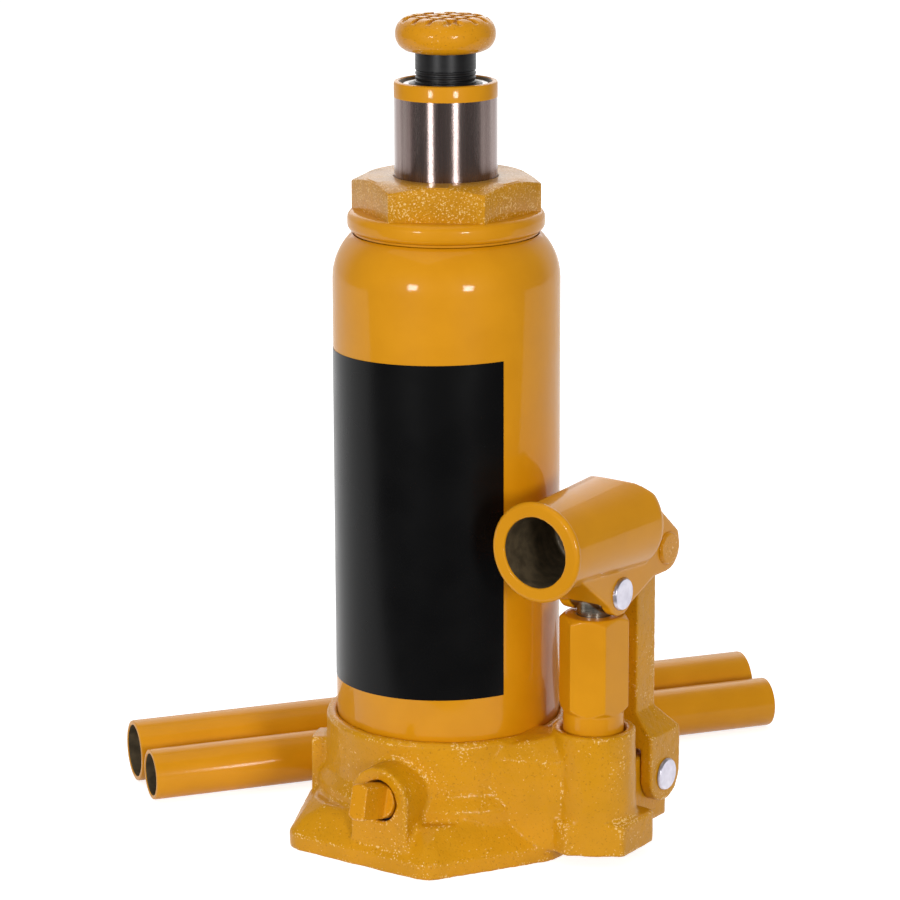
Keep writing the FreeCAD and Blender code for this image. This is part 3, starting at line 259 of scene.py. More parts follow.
    def relief(self, layers: Sequence[tuple[bpy.types.Node, float]]) -> None:
        """Raise the surface by patterns, one bump on another.

        Args:
            layers: Patterns with their heights, mm.
        """
        last = None
        for source, height in layers:
            bump = self.add("ShaderNodeBump", Strength=1.0, Distance=height * MM)
            self.join(source, 0, bump, "Height")
            if last:
                self.join(last, "Normal", bump, "Normal")
            last = bump
        self.join(last, "Normal", self.surface, "Normal")
        self.join(last, "Normal", self.surface, "Coat Normal")


@dataclass(frozen=True)
class Paint:
    """Gloss enamel, over smooth steel or over a sand-cast skin."""

    name: str
    color: Color = (0.70, 0.292, 0.003)
    shade: Color = (0.655, 0.268, 0.002)
    roughness: float = 0.42
    rougher: float = 0.08
    specular: float = 0.12
    coat: float = 0.45
    coat_roughness: float = 0.085
    coat_ior: float = 1.42
    flow_size: float = 14.0
    peel: float = 0.012
    peel_size: float = 2.0
    cast: float = 0.0
    grit: float = 0.7
    grit_rough: float = 0.7
    grit_share: float = 0.5
    lump_size: float = 3.5  # in grains
    patch_size: float = 11.0  # in grains
    patchy: float = 0.5
    rare: float = 0.63
    # Painted highlight: glints lighten the grain's peaks.
    glint: Color = (0.93, 0.66, 0.27)
    glint_share: float = 0.7
    glint_fade: float = 0.06
    # Painted shade: the grain's hollows darken to this pit colour.
    pit_shade: Color = (0.42, 0.165, 0.001)
    pit_share: float = 0.6
    pit_level: float = 0.38
    pit_fade: float = 0.1
    edge_share: float = 0.10

    def build(self) -> bpy.types.Material:
        """Return the finish's material."""
        shader = Shader(self.name)
        surface = shader.surface
        surface.inputs["Specular IOR Level"].default_value = self.specular
        surface.inputs["Coat Weight"].default_value = self.coat
        surface.inputs["Coat Roughness"].default_value = self.coat_roughness
        surface.inputs["Coat IOR"].default_value = self.coat_ior
        flow = shader.pattern(self.flow_size, detail=3.0)
        shader.tint(flow, self.shade, self.color)
        shader.gloss(flow, self.roughness, self.roughness + self.rougher)
        layers = [(shader.pattern(self.peel_size, detail=1.0), self.peel)]
        if self.cast:
            layers += self.grain(shader)
        shader.relief(layers)
        return shader.material

    def grain(self, shader: Shader) -> list[tuple[bpy.types.Node, float]]:
        """Paint shade into the casting grain's hollows and glints, highlights, onto its peaks,
        and return its height patterns.

        Args:
            shader: The finish's shader, already coloured.

        Returns:
            Patterns with their heights, mm.
        """
        grains = shader.pattern(self.grit, detail=1.0, rough=self.grit_rough)
        patches = shader.gathered(grains, self.grit * self.patch_size, self.patchy)
        glint_pattern = shader.edges(patches, self.edge_share)
        # Painted shade in the grain's hollows, then painted glints, highlights, on its peaks,
        # gathered in patches and along ridges and inner corners.
        pit_shade_mask = shader.peaks(grains, self.pit_level, self.pit_level - self.pit_fade)
        shader.fleck(pit_shade_mask, self.pit_shade, self.pit_share)
        shader.fleck(shader.peaks(glint_pattern, self.rare, self.rare + self.glint_fade), self.glint,
                     self.glint_share)
        return [(shader.pattern(self.grit * self.lump_size), self.cast),
                (grains, self.cast * self.grit_share)]


@dataclass(frozen=True)
class Metal:
    """Bare metal with tool marks."""

    name: str
    color: Color
    shade: Color
    roughness: float = 0.28
    marks: float = 0.004
    mark_size: float = 0.25
    grain: Grain = Grain.RINGS
    metallic: float = 1.0
    tone_size: float = 3.0
    smoother: float = 0.85
    rougher: float = 1.2
    brushed: float = 0.0
    brushed_turn: float = 0.25

    def build(self) -> bpy.types.Material:
        """Return the finish's material."""
        shader = Shader(self.name)
        shader.surface.inputs["Metallic"].default_value = self.metallic
        # The pattern tints stains and marks. On the ram, stretched lengthwise, its light and
        # dark bands are painted reflection.
        stains_and_reflection_bands = shader.pattern(self.tone_size, self.grain, detail=4.0)
        shader.tint(stains_and_reflection_bands, self.shade, self.color)
        lines = shader.pattern(self.mark_size, self.grain, detail=3.0)
        shader.gloss(lines, self.roughness * self.smoother, self.roughness * self.rougher)
        shader.relief([(lines, self.marks)])
        if self.brushed:
            shader.surface.inputs["Anisotropic"].default_value = self.brushed
            shader.surface.inputs["Anisotropic Rotation"].default_value = self.brushed_turn
            around = shader.add("ShaderNodeTangent")
            around.direction_type = "RADIAL"
            around.axis = "Z"
            shader.join(around, "Tangent", shader.surface, "Tangent")
        return shader.material


@dataclass(frozen=True)
class Soft:
    """Rubber, plastic film and other dull or glossy non-metals."""

    name: str
    color: Color
    shade: Color
    roughness: float = 0.5
    rougher: float = 1.25
    ripple: float = 0.01
    size: float = 0.8
    shine: float = 0.5

    def build(self) -> bpy.types.Material:
        """Return the finish's material."""
        shader = Shader(self.name)
        shader.surface.inputs["Specular IOR Level"].default_value = self.shine
        grain = shader.pattern(self.size)
        shader.tint(grain, self.shade, self.color)
        shader.gloss(grain, self.roughness, self.roughness * self.rougher)
        shader.relief([(grain, self.ripple)])
        return shader.material


class Look(Enum):
    """Every finish on the jack."""

    CAST_PAINT = Paint("amber_paint_on_casting", (0.665, 0.293, 0.003), (0.595, 0.264, 0.002),
                       coat=0.32, cast=0.20)
    CAP_PAINT = Paint("amber_paint_on_cap", (0.62, 0.27, 0.003), (0.54, 0.232, 0.002),
                      cast=0.14, grit=0.55, patchy=0.15, rare=0.60, pit_level=0.44,
                      edge_share=0.0)
    SMOOTH_PAINT = Paint("amber_paint_on_steel")
    TUBE_PAINT = Paint("amber_paint_on_tube", coat=0.35, coat_roughness=0.14)
    PIN_PAINT = Paint("amber_paint_on_pin", cast=0.05)
    # The ram's dark brown colour and its lengthwise light and dark bands are painted reflection.
    # They stand for the dark surroundings and streaks that the polished ram reflects.
    RAM_STEEL = Metal("ground_ram_steel", (0.36, 0.285, 0.265), (0.25, 0.18, 0.168), 0.24,
                      marks=0.0, grain=Grain.LENGTHWISE, brushed=0.9)
    TURNED_STEEL = Metal("turned_steel", (0.56, 0.55, 0.54), (0.46, 0.45, 0.44), 0.3)
    PLUNGER_STEEL = Metal("oiled_plunger_steel", (0.34, 0.32, 0.27), (0.22, 0.2, 0.17), 0.3)
    BLACK_STEEL = Metal("black_screw_steel", (0.010, 0.010, 0.011), (0.006, 0.006, 0.007),
                        0.38, metallic=0.2)
    PIN_ZINC = Metal("zinc_on_pins", (0.66, 0.64, 0.72), (0.54, 0.52, 0.6), 0.34,
                     mark_size=0.8, grain=Grain.EVEN)
    # Bare dark bores. The same finish on the ram's top groove is painted shade.
    BORE_STEEL = Metal("dark_bore_and_groove_shade", (0.15, 0.11, 0.06), (0.075, 0.055, 0.03), 0.5,
                       metallic=0.2, grain=Grain.EVEN)
    COPPER = Metal("soft_copper", (0.72, 0.38, 0.22), (0.6, 0.3, 0.17), 0.34)
    RUBBER = Soft("black_rubber", (0.02, 0.02, 0.021), (0.012, 0.012, 0.012),
                  roughness=0.55)
    LABEL = Soft("black_label_film", (0.0028, 0.0028, 0.003), (0.0022, 0.0022, 0.0024),
                 roughness=0.24, ripple=0.0, size=20.0, shine=0.15)

    def material(self) -> bpy.types.Material:
        """Return this finish's material, made once."""
        return bpy.data.materials.get(self.value.name) or self.value.build()


# ---------------------------------------------------------------- modelling

def add_object(name: str, form: bmesh.types.BMesh) -> bpy.types.Object:
    """Turn a bmesh into a smooth-shaded object in the scene.

    Args:
        name: The piece's name.
        form: The finished bmesh. It is freed.

    Returns:
        The new object.
    """
    mesh = bpy.data.meshes.new(name)
    form.to_mesh(mesh)
    form.free()
    mesh.shade_smooth()
    mesh.set_sharp_from_angle(angle=math.radians(CREASE))
    thing = bpy.data.objects.new(name, mesh)
    bpy.context.scene.collection.objects.link(thing)
    return thing


def spun(profile: Profile, steps: int, turn: float = 360.0,
         place: Matrix = Matrix.Identity(4)) -> bmesh.types.BMesh:
    """Spin a profile round an axis into a closed solid or a strip.

    Args:
        profile: Radius and height of each corner, mm, in order.
        steps: Segments of the turn.
        turn: Degrees of turn.
        place: Where the axis lies, as a matrix from upright, metres.

    Returns:
        The bmesh.
    """
    form = bmesh.new()
    line = [form.verts.new((r * MM, 0, z * MM)) for r, z in profile]
    edges = [form.edges.new(pair) for pair in zip(line, line[1:])]
    full = turn == 360.0
    if full and profile[0] != profile[-1] and profile[0][0] > 0:
        edges.append(form.edges.new((line[-1], line[0])))
    bmesh.ops.spin(form, geom=line + edges, cent=(0, 0, 0), axis=UP, steps=steps,
                   angle=math.radians(turn), use_merge=full, use_duplicate=False)
    bmesh.ops.remove_doubles(form, verts=form.verts, dist=WELD)
    bmesh.ops.transform(form, matrix=place, verts=form.verts)
    bmesh.ops.recalc_face_normals(form, faces=form.faces)
    return form


def rounded(form: bmesh.types.BMesh, width: float, angle: float) -> bmesh.types.BMesh:
    """Round every edge sharper than an angle.

    Args:
        form: The bmesh to change.
        width: Width of the rounding, mm.
        angle: Smallest angle between faces that counts as an edge, degrees.

    Returns:
        The same bmesh.
    """
    limit = math.radians(angle)
    edges = [edge for edge in form.edges
             if edge.is_manifold and edge.calc_face_angle(0.0) > limit]
    bmesh.ops.bevel(form, geom=edges, offset=width * MM, offset_type="OFFSET",
                    segments=ROUND_STEPS, profile=0.5, affect="EDGES", clamp_overlap=True,
                    material=-1)
    return form


def settle(thing: bpy.types.Object) -> None:
    """Apply a piece's modifiers to its mesh.

    Args:
        thing: The piece.
    """
    bpy.context.view_layer.update()
    graph = bpy.context.evaluated_depsgraph_get()
    mesh = bpy.data.meshes.new_from_object(thing.evaluated_get(graph))
    thing.modifiers.clear()
    thing.data = mesh
    mesh.shade_smooth()


def refined(node: str, name: str, voxel: float, soften: int, ripple: float = 0.0,
            ripple_size: float = 2.2, filler: bmesh.types.BMesh | None = None,
            ) -> bpy.types.Object:
    """Copy a CAD node's shape with rounded edges and, for a casting, an uneven skin.

    Args:
        node: The CAD node to copy.
        name: The new piece's name.
        voxel: Mesh size, mm.
        soften: Rounds of smoothing.
        ripple: Height of the casting's unevenness, mm.
        ripple_size: Size of that unevenness, mm.
        filler: A further closed form that is cast in one with it. It is freed.

    Returns:
        The new piece.
    """
    form = bmesh.new()
    form.from_mesh(frame["nodes"][node].data)
    bmesh.ops.remove_doubles(form, verts=form.verts, dist=WELD)
    if filler:
        added = bpy.data.meshes.new("filler")
        filler.to_mesh(added)
        filler.free()
        form.from_mesh(added)
        bpy.data.meshes.remove(added)
    thing = add_object(name, form)
    remesh = thing.modifiers.new("even_mesh", "REMESH")
    remesh.mode = "VOXEL"
    remesh.voxel_size = voxel * MM
    smooth = thing.modifiers.new("soft_edges", "SMOOTH")
    smooth.factor = 0.5
    smooth.iterations = soften
    settle(thing)
    if ripple:
        form = bmesh.new()
        form.from_mesh(thing.data)
        form.normal_update()
        for vert in form.verts:
            lift = noise.noise(vert.co / (ripple_size * MM)) * ripple * MM
            vert.co += vert.normal * lift
        form.to_mesh(thing.data)
        form.free()
    return thing


def coated(thing: bpy.types.Object, *looks: Look) -> bpy.types.Object:
    """Give a piece one material slot for each finish, in order, and return it."""
    for look in looks:
        thing.data.materials.append(look.material())
    return thing


def finish(thing: bpy.types.Object, body: str, look: Look,
           stands_for: Sequence[str]) -> bpy.types.Object:
    """Dress a piece, put it on its body and log it.

    Args:
        thing: The finished piece.
        body: The CAD body it rides on.
        look: Its finish.
        stands_for: CAD nodes that it replaces.

    Returns:
        The same piece.
    """
    if not thing.data.materials:
        thing.data.materials.append(look.material())
    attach(thing, body)
    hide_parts(*stands_for)
    LOG.info("%s on %s: %d faces", thing.name, body, len(thing.data.polygons))
    return thing


def lying(origin: Vector, direction: Vector) -> Matrix:
    """Return the matrix that lays an upright axis along a direction from a point.

    Args:
        origin: Where the axis starts, metres.
        direction: Where it points.
    """
    return Matrix.Translation(origin) @ UP.rotation_difference(direction).to_matrix().to_4x4()


# ---------------------------------------------------------------- the jack
# Sizes are in mm and turns in degrees.

@dataclass
class BaseAndTank:
    """Base casting, tank, its label, the cap and what they hold."""

    tank_radius: float = 33.3
    tank_wall: float = 1.6
    tank_low: float = 29.5
    shoulder_start: float = 168.0
    shoulder_radius: float = 18.0
    shoulder_steps: int = 8
    tank_top: float = 181.4
    tank_edge: float = 0.3
    tank_edge_angle: float = 50.0
    label_low: float = 48.6
    label_high: float = 148.2
    label_span: float = 118.0
    label_turn: float = -85.0
    label_thick: float = 0.12
    label_gap: float = 0.02
    label_slant: float = 1.3
    label_rows: int = 12
    label_steps: int = 96
    plug_turn: float = 100.0
    plug_height: float = 140.0
    plug_steps: int = 64
    plug_outline: Profile = (  # radius, and height over the tank's wall
        (0, -3.6), (3.6, -3.6), (4.4, -2.8), (4.4, -0.7), (6.3, -0.7), (6.5, 0.6), (6.3, 1.5),
        (5.7, 2.0), (5.0, 2.0), (4.5, 1.5), (4.2, 1.1), (2.2, 0.9), (1.8, 1.5), (1.0, 1.8),
        (0, 1.9))
    flange_radius: float = 28.8
    flange_high: float = 6.0
    flange_round: float = 2.2
    flange_steps: int = 6
    tank_steps: int = 256
    ring_steps: int = 192
    skirt: float = 24.3
    cylinder: float = 22.05
    cylinder_top: float = 186.05
    guide: float = 17.45
    guide_low: float = 180.6
    groove: float = 17.65
    bore: float = 15.1
    apothem: float = 24.0
    corner: float = 27.72
    chamfer_radius: float = 23.4
    chamfer_slope: float = 0.45
    hex_steps: int = 144
    side_turn: float = 60.0
    hex_turn: float = -1.7
    hex_sunk: float = 1.0
    hex_edge: float = 0.45
    hex_edge_angle: float = 25.0
    seal_thick: float = 0.6
    seal_inner: float = 25.6
    seal_inset: float = 0.35
    web_bottom: float = 4.2
    web: Sequence[tuple[float, float, float]] = (  # corners of its sloping face
        (28.5, -21.5, 31.0), (30.0, -18.5, 34.5), (34.2, -10.0, 36.6), (30.0, 0.0, 36.6),
        (46.5, -9.2, 38.4), (49.5, -12.0, 31.0), (51.8, 0.0, 38.4), (40.0, -16.2, 30.0))

    def build(self) -> None:
        """Make every piece of the sub-assembly."""
        casting = refined("base_casting", "base_body", voxel=0.66, soften=5, ripple=0.14,
                          ripple_size=4.0, filler=self.pump_web())
        finish(casting, "jack_body", Look.CAST_PAINT, ["base_casting"])
        finish(self.cap(), "jack_body", Look.CAP_PAINT, ["top_cap"])
        finish(self.cap_seal(), "jack_body", Look.RUBBER,
               ["reservoir_upper_seal"])
        finish(self.tank(), "jack_body", Look.SMOOTH_PAINT,
               ["reservoir_tube"])
        finish(self.plug(), "jack_body", Look.RUBBER, ["oil_filler_plug"])
        finish(self.label(), "jack_body", Look.LABEL, ["front_label"])

    def plug(self) -> bpy.types.Object:
        """Return the rubber filler plug with its rolled rim and dished face."""
        turn = math.radians(self.plug_turn)
        out = Vector((math.cos(turn), math.sin(turn), 0))
        place = lying(UP * self.plug_height * MM, out)
        profile = [(radius, self.tank_radius + rise) for radius, rise in self.plug_outline]
        return add_object("filler_plug", spun(profile, self.plug_steps, place=place))

    def cap(self) -> bpy.types.Object:
        """Return the cap: a smooth round flange under a cast hexagon."""
        low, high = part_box("top_cap")
        seal_low, seal_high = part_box("ram_wiper_seal")
        bottom = low.z / MM
        foot = self.tank_top + self.seal_thick
        shelf = foot + self.flange_high
        sunk = shelf - self.hex_sunk
        top = high.z / MM
        edge = self.flange_round
        arc = [(self.flange_radius - edge + edge * math.sin(turn),
                foot + edge - edge * math.cos(turn))
               for turn in (math.radians(90 / self.flange_steps * step)
                            for step in range(self.flange_steps + 1))]
        crown = [(r, foot + shelf - z) for r, z in reversed(arc)]
        flange = spun([(self.cylinder, bottom), (self.skirt, bottom), (self.skirt, foot),
                       *arc, *crown, (self.bore, shelf), (self.bore, self.guide_low),
                       (self.guide, self.guide_low), (self.guide, self.cylinder_top),
                       (self.cylinder, self.cylinder_top)], self.ring_steps)
        form = spun([(self.bore, sunk), (self.corner, sunk), (self.corner, top),
                     (self.chamfer_radius, top), (self.bore, top),
                     (self.bore, seal_high.z / MM), (self.groove, seal_high.z / MM),
                     (self.groove, seal_low.z / MM), (self.bore, seal_low.z / MM)],
                    self.hex_steps,
                    place=Matrix.Rotation(math.radians(self.hex_turn), 4, "Z"))
        for vert in form.verts:
            radius = vert.co.xy.length / MM
            if radius < self.corner - SAME:
                continue
            turn = math.degrees(math.atan2(vert.co.y, vert.co.x)) - self.hex_turn
            from_flat = (turn + self.side_turn / 2) % self.side_turn - self.side_turn / 2
            wall = self.apothem / math.cos(math.radians(from_flat))
            vert.co.xy *= wall / radius
            if vert.co.z > (top - SAME) * MM:
                vert.co.z -= max(0.0, wall - self.chamfer_radius) * self.chamfer_slope * MM
        form = rounded(form, self.hex_edge, self.hex_edge_angle)
        hexagon = bpy.data.meshes.new("hexagon")
        form.to_mesh(hexagon)
        form.free()
        flange.from_mesh(hexagon)
        bpy.data.meshes.remove(hexagon)
        thing = coated(add_object("tank_cap", flange), Look.CAP_PAINT, Look.SMOOTH_PAINT)
        for face in thing.data.polygons:
            face.material_index = int(face.center.z < shelf * MM)
        return thing

    def pump_web(self) -> bmesh.types.BMesh:
        """Return the cast web that runs down from the ring's rim to the pump boss."""
        form = bmesh.new()
        for x, y, z in self.web:
            form.verts.new((x * MM, y * MM, z * MM))
            form.verts.new((x * MM, y * MM, self.web_bottom * MM))
        bmesh.ops.convex_hull(form, input=form.verts)
        bmesh.ops.recalc_face_normals(form, faces=form.faces)
        return form

    def cap_seal(self) -> bpy.types.Object:
        """Return the seal under the cap, its outer edge painted over with the tank."""
        low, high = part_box("reservoir_upper_seal")
        inner, outer = self.seal_inner, high.x / MM - self.seal_inset
        form = spun([(inner, low.z / MM), (outer, low.z / MM), (outer, high.z / MM),
                     (inner, high.z / MM)], self.ring_steps)
        for face in form.faces:
            if face.calc_center_median().xy.length > (outer - SAME) * MM:
                face.material_index = 1
        return coated(add_object("cap_seal_edge", form), Look.RUBBER, Look.SMOOTH_PAINT)

    def tank(self) -> bpy.types.Object:
        """Return the tank tube with its drawn-in shoulder."""
        rise = self.tank_top - self.shoulder_start
        last = math.asin(rise / self.shoulder_radius)
        turns = [last * step / self.shoulder_steps for step in range(self.shoulder_steps + 1)]
        outer, inner = (
            [(radius - bend * (1 - math.cos(turn)), self.shoulder_start + bend * math.sin(turn))
             for turn in turns]
            for radius, bend in (
                (self.tank_radius, self.shoulder_radius),
                (self.tank_radius - self.tank_wall, self.shoulder_radius - self.tank_wall)))
        profile = [(self.tank_radius - self.tank_wall, self.tank_low),
                   (self.tank_radius, self.tank_low), *outer, *reversed(inner)]
        form = rounded(spun(profile, self.tank_steps), self.tank_edge, self.tank_edge_angle)
        return add_object("tank_tube", form)

    def label(self) -> bpy.types.Object:
        """Return the bare label, a thin film bent round the tank."""
        radius = self.tank_radius + self.label_gap
        rise = (self.label_high - self.label_low) / self.label_rows
        strip = [(radius, self.label_low + rise * row) for row in range(self.label_rows + 1)]
        start = math.radians(self.label_turn - self.label_span / 2)
        form = spun(strip, self.label_steps, self.label_span, Matrix.Rotation(start, 4, "Z"))
        for vert in form.verts:
            turn = math.atan2(vert.co.y, vert.co.x) - math.radians(self.label_turn)
            vert.co.z += math.tan(math.radians(self.label_slant)) * turn * radius * MM
        bmesh.ops.recalc_face_normals(form, faces=form.faces)
        if sum((face.normal.dot(face.calc_center_median() * Vector((1, 1, 0)))
                for face in form.faces), 0.0) < 0:
            bmesh.ops.reverse_faces(form, faces=form.faces)
        bmesh.ops.solidify(form, geom=form.faces, thickness=-self.label_thick * MM)
        bmesh.ops.recalc_face_normals(form, faces=form.faces)
        return add_object("bare_label", form)


@dataclass
class RamAndScrew:
    """Ram with its painted band, extension screw and saddle."""

    ram_radius: float = 15.0
    ram_top: float = 225.5
    band_low: float = 220.9
    band_thick: float = 0.03
    band_round: Profile = ((-0.03, 0.7), (0.15, 0.2), (0.7, 0.0))
    ram_low: float = 74.5
    ram_middle: float = 150.0
    ram_chamfer: float = 1.0
    ram_steps: int = 192
    spigot: float = 8.0
    spigot_chamfer: float = 0.4
    bore: float = 10.25
    bore_deep: float = 100.0
    bore_tip: float = 3.0
    bore_edge: float = 0.5
    bore_start: float = 1.7
    rim: float = 13.4
    rim_edge: float = 0.3
    mouth: float = 12.5
    mouth_edge: float = 0.1
    mouth_deep: float = 1.8
    ledge: float = 1.2
    sunk: float = 0.9
    screw_radius: float = 10.2
    root_radius: float = 9.0
    tip_radius: float = 7.8
    tip_edge: float = 0.4
    tip_long: float = 6.0
    tip_gap: float = 0.6
    thread_drop: float = 1.2
    pitch: float = 3.0
    rows_per_turn: int = 10
    screw_steps: int = 96
    run_in: float = 1.5
    run_out: float = 2.0
    crest_high: float = 1.35
    crest_slope: float = 3.4
    neck_radius: float = 8.8
    neck_start: float = 0.3
    neck_rings: Sequence[float] = (225.3, 226.6, 227.9)
    neck_deep: float = 0.3
    stem_radius: float = 6.0
    saddle_low: float = 233.9

    def build(self) -> None:
        """Make every piece of the sub-assembly."""
        finish(self.ram(), "ram", Look.RAM_STEEL, ["ram"])
        finish(self.screw(), "extension_screw", Look.BLACK_STEEL,
               ["extension_screw"])
        finish(refined("saddle", "load_saddle", voxel=0.3, soften=7, ripple=0.05),
               "extension_screw", Look.PIN_PAINT, ["saddle"])

    def ram(self) -> bpy.types.Object:
        """Return the ram, steel below and painted at its top."""
        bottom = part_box("ram")[0].z / MM
        top, radius = self.ram_top, self.ram_radius
        floor = top - self.bore_deep
        outside = [(0, bottom), (self.spigot - self.spigot_chamfer, bottom),
                   (self.spigot, bottom + self.spigot_chamfer), (self.spigot, self.ram_low),
                   (radius - self.ram_chamfer, self.ram_low),
                   (radius, self.ram_low + self.ram_chamfer), (radius, self.ram_middle),
                   (radius, self.band_low)]
        band = [(radius + self.band_thick, self.band_low),
                *((radius - inset, top - drop) for inset, drop in self.band_round),
                (self.rim + self.rim_edge, top), (self.rim, top - self.rim_edge)]
        inside = [(self.mouth + self.mouth_edge, top - self.mouth_deep),
                  (self.mouth, top - self.mouth_deep), (self.mouth, top - self.ledge),
                  (self.mouth - self.ledge + self.sunk, top - self.sunk),
                  (self.bore + self.bore_edge, top - self.sunk),
                  (self.bore, top - self.bore_start), (self.bore, floor),
                  (0, floor - self.bore_tip)]
        form = spun(outside + band + inside, self.ram_steps)
        looks = (Look.RAM_STEEL, Look.SMOOTH_PAINT, Look.BORE_STEEL, Look.TURNED_STEEL)
        for face in form.faces:
            centre = face.calc_center_median()
            if centre.z <= self.band_low * MM:
                continue
            reach = centre.xy.length / MM
            if reach > self.rim - self.rim_edge:
                face.material_index = looks.index(Look.SMOOTH_PAINT)
            # The groove's wall inside the rim takes the dark bore finish as painted shade in the
            # groove.
            elif reach > self.mouth:
                face.material_index = looks.index(Look.BORE_STEEL)
            elif reach > self.bore + SAME:
                face.material_index = looks.index(Look.TURNED_STEEL)
        return coated(add_object("lifting_ram", form), *looks)

    def screw(self) -> bpy.types.Object:
        """Return the extension screw with its helical thread."""
        low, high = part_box("extension_screw")
        bottom, top = low.z / MM, high.z / MM
        thread_low, thread_high = bottom + self.tip_long, self.ram_top - self.thread_drop
        steps = int((thread_high - thread_low) / self.pitch * self.rows_per_turn)
        rows = [(self.root_radius, thread_low + (thread_high - thread_low) * i / steps)
                for i in range(steps + 1)]
        groove, deep = self.neck_radius - self.neck_deep, self.neck_deep
        neck = [(self.neck_radius, thread_high + self.neck_start),
                *(spot for level in self.neck_rings for spot in (
                    (self.neck_radius, level), (groove, level + deep),
                    (groove, level + 2 * deep), (self.neck_radius, level + 3 * deep))),
                (self.neck_radius, self.saddle_low)]
        profile = [(0, bottom), (self.tip_radius - self.tip_edge, bottom),
                   (self.tip_radius, bottom + self.tip_edge),
                   (self.tip_radius, thread_low - self.tip_gap), *rows, *neck,
                   (self.stem_radius, self.saddle_low), (self.stem_radius, top), (0, top)]
        form = spun(profile, self.screw_steps)
        for vert in form.verts:
            radius = vert.co.xy.length / MM
            height = vert.co.z / MM
            if abs(radius - self.root_radius) > SAME:
                continue
            turn = math.atan2(vert.co.y, vert.co.x) / (2 * math.pi)
            phase = (height / self.pitch - turn) % 1.0
            fade = min(1.0, (thread_high - height) / self.run_out,
                       (height - thread_low) / self.run_in)
            crest = min(1.0, self.crest_high - abs(phase - 0.5) * self.crest_slope)
            rise = (self.screw_radius - self.root_radius) * max(0.0, crest) * max(0.0, fade)
            vert.co.xy *= (self.root_radius + rise) / radius
        return add_object("lift_screw", form)


@dataclass
class PumpAndLever:
    """Pump cylinder, plunger, handle socket, link and their pins."""

    pump_x: float = 51.8
    socket_z: float = 99.5
    bore: float = 10.25
    mouth: float = -31.5
    bore_end: float = -5.5
    lip: float = 0.6
    slack: float = 0.5

    def build(self) -> None:
        """Make every piece of the sub-assembly."""
        finish(refined("pump_cylinder", "pump_body", voxel=0.32, soften=4), "jack_body",
               Look.SMOOTH_PAINT, ["pump_cylinder"])
        finish(refined("pump_plunger", "plunger_rod", voxel=0.25, soften=3), "pump_plunger",
               Look.PLUNGER_STEEL, ["pump_plunger"])
        finish(self.socket(), "handle_socket", Look.SMOOTH_PAINT,
               ["handle_socket"])
        finish(refined("link_arm", "link_forging", voxel=0.42, soften=6, ripple=0.10),
               "link_arm", Look.CAST_PAINT, ["link_arm"])
        self.pin("plunger_pin", "handle_socket", Look.PIN_ZINC)
        self.pin("socket_link_pin", "handle_socket", Look.PIN_PAINT)
        self.pin("link_base_pin", "jack_body", Look.PIN_ZINC)

    def socket(self) -> bpy.types.Object:
        """Return the handle socket, painted outside and bare in its bore."""
        thing = coated(refined("handle_socket", "socket_body", voxel=0.42, soften=7),
                       Look.SMOOTH_PAINT, Look.BORE_STEEL)
        for face in thing.data.polygons:
            spot = face.center / MM
            reach = math.hypot(spot.x - self.pump_x, spot.z - self.socket_z)
            deep = self.mouth + self.lip < spot.y < self.bore_end + self.slack
            if deep and reach < self.bore + self.slack / 2:
                face.material_index = 1
        return thing

    def pin(self, node: str, body: str, look: Look) -> None:
        """Make a headed pin in a CAD pin's place.

        Args:
            node: The CAD pin.
            body: The body it rides on.
            look: Its finish.
        """
        finish(refined(node, node + "_turned", voxel=0.2, soften=4), body,
               look, [node])


@dataclass
class Valve:
    """Release valve with its tang."""

    def build(self) -> None:
        """Make the valve's visible piece."""
        finish(refined("release_valve", "valve_key", voxel=0.22, soften=5, ripple=0.04),
               "release_valve", Look.PIN_PAINT, ["release_valve"])


@dataclass
class Handles:
    """The two loose tubes of the pump handle."""

    long: float = 208.5
    turn: float = 54.8
    start: float = -79.3
    bore_edge: float = 0.25
    rim_round: Profile = ((0.5, 0), (0.15, 0.15), (0, 0.6))
    steps: int = 96

    def build(self) -> None:
        """Make both tubes."""
        for name, body, off, outer, inner in (
                ("upper_tube", "handle_upper", 51.0, 7.8, 6.5),
                ("lower_tube", "handle_lower", 70.2, 9.5, 8.1)):
            finish(self.tube(name, off, outer, inner), body, Look.TUBE_PAINT,
                   [body])

    def tube(self, name: str, off: float, outer: float, inner: float) -> bpy.types.Object:
        """Return one tube that lies on the floor.

        Args:
            name: The piece's name.
            off: Distance from the ram's axis, mm.
            outer: Outer radius, mm.
            inner: Bore radius, mm.
        """
        turn = math.radians(self.turn)
        along = Vector((math.cos(turn), math.sin(turn), 0))
        side = Vector((-along.y, along.x, 0))
        origin = (along * self.start + side * off + UP * outer) * MM
        near = [(inner, self.bore_edge), (inner + self.bore_edge, 0),
                *((outer - inset, rise) for inset, rise in self.rim_round)]
        far = [(radius, self.long - rise) for radius, rise in reversed(near)]
        form = spun(near + far, self.steps, place=lying(origin, along))
        for face in form.faces:
            point = face.calc_center_median() - origin
            radius = (point - along * point.dot(along)).length
            if radius < (inner + self.bore_edge / 3) * MM:
                face.material_index = 1
        return coated(add_object(name, form), Look.TUBE_PAINT, Look.BORE_STEEL)


@dataclass
class DeliverySpring:
    """Spring over the delivery ball."""

    lift: float = 0.8

    def build(self) -> None:
        """Make the spring as a copy of its CAD shape."""
        node = "delivery_ball_spring"
        form = bmesh.new()
        form.from_mesh(frame["nodes"][node].data)
        coil = finish(add_object("valve_spring_coil", form), "jack_body",
                      Look.TURNED_STEEL, [node])
        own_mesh(coil)


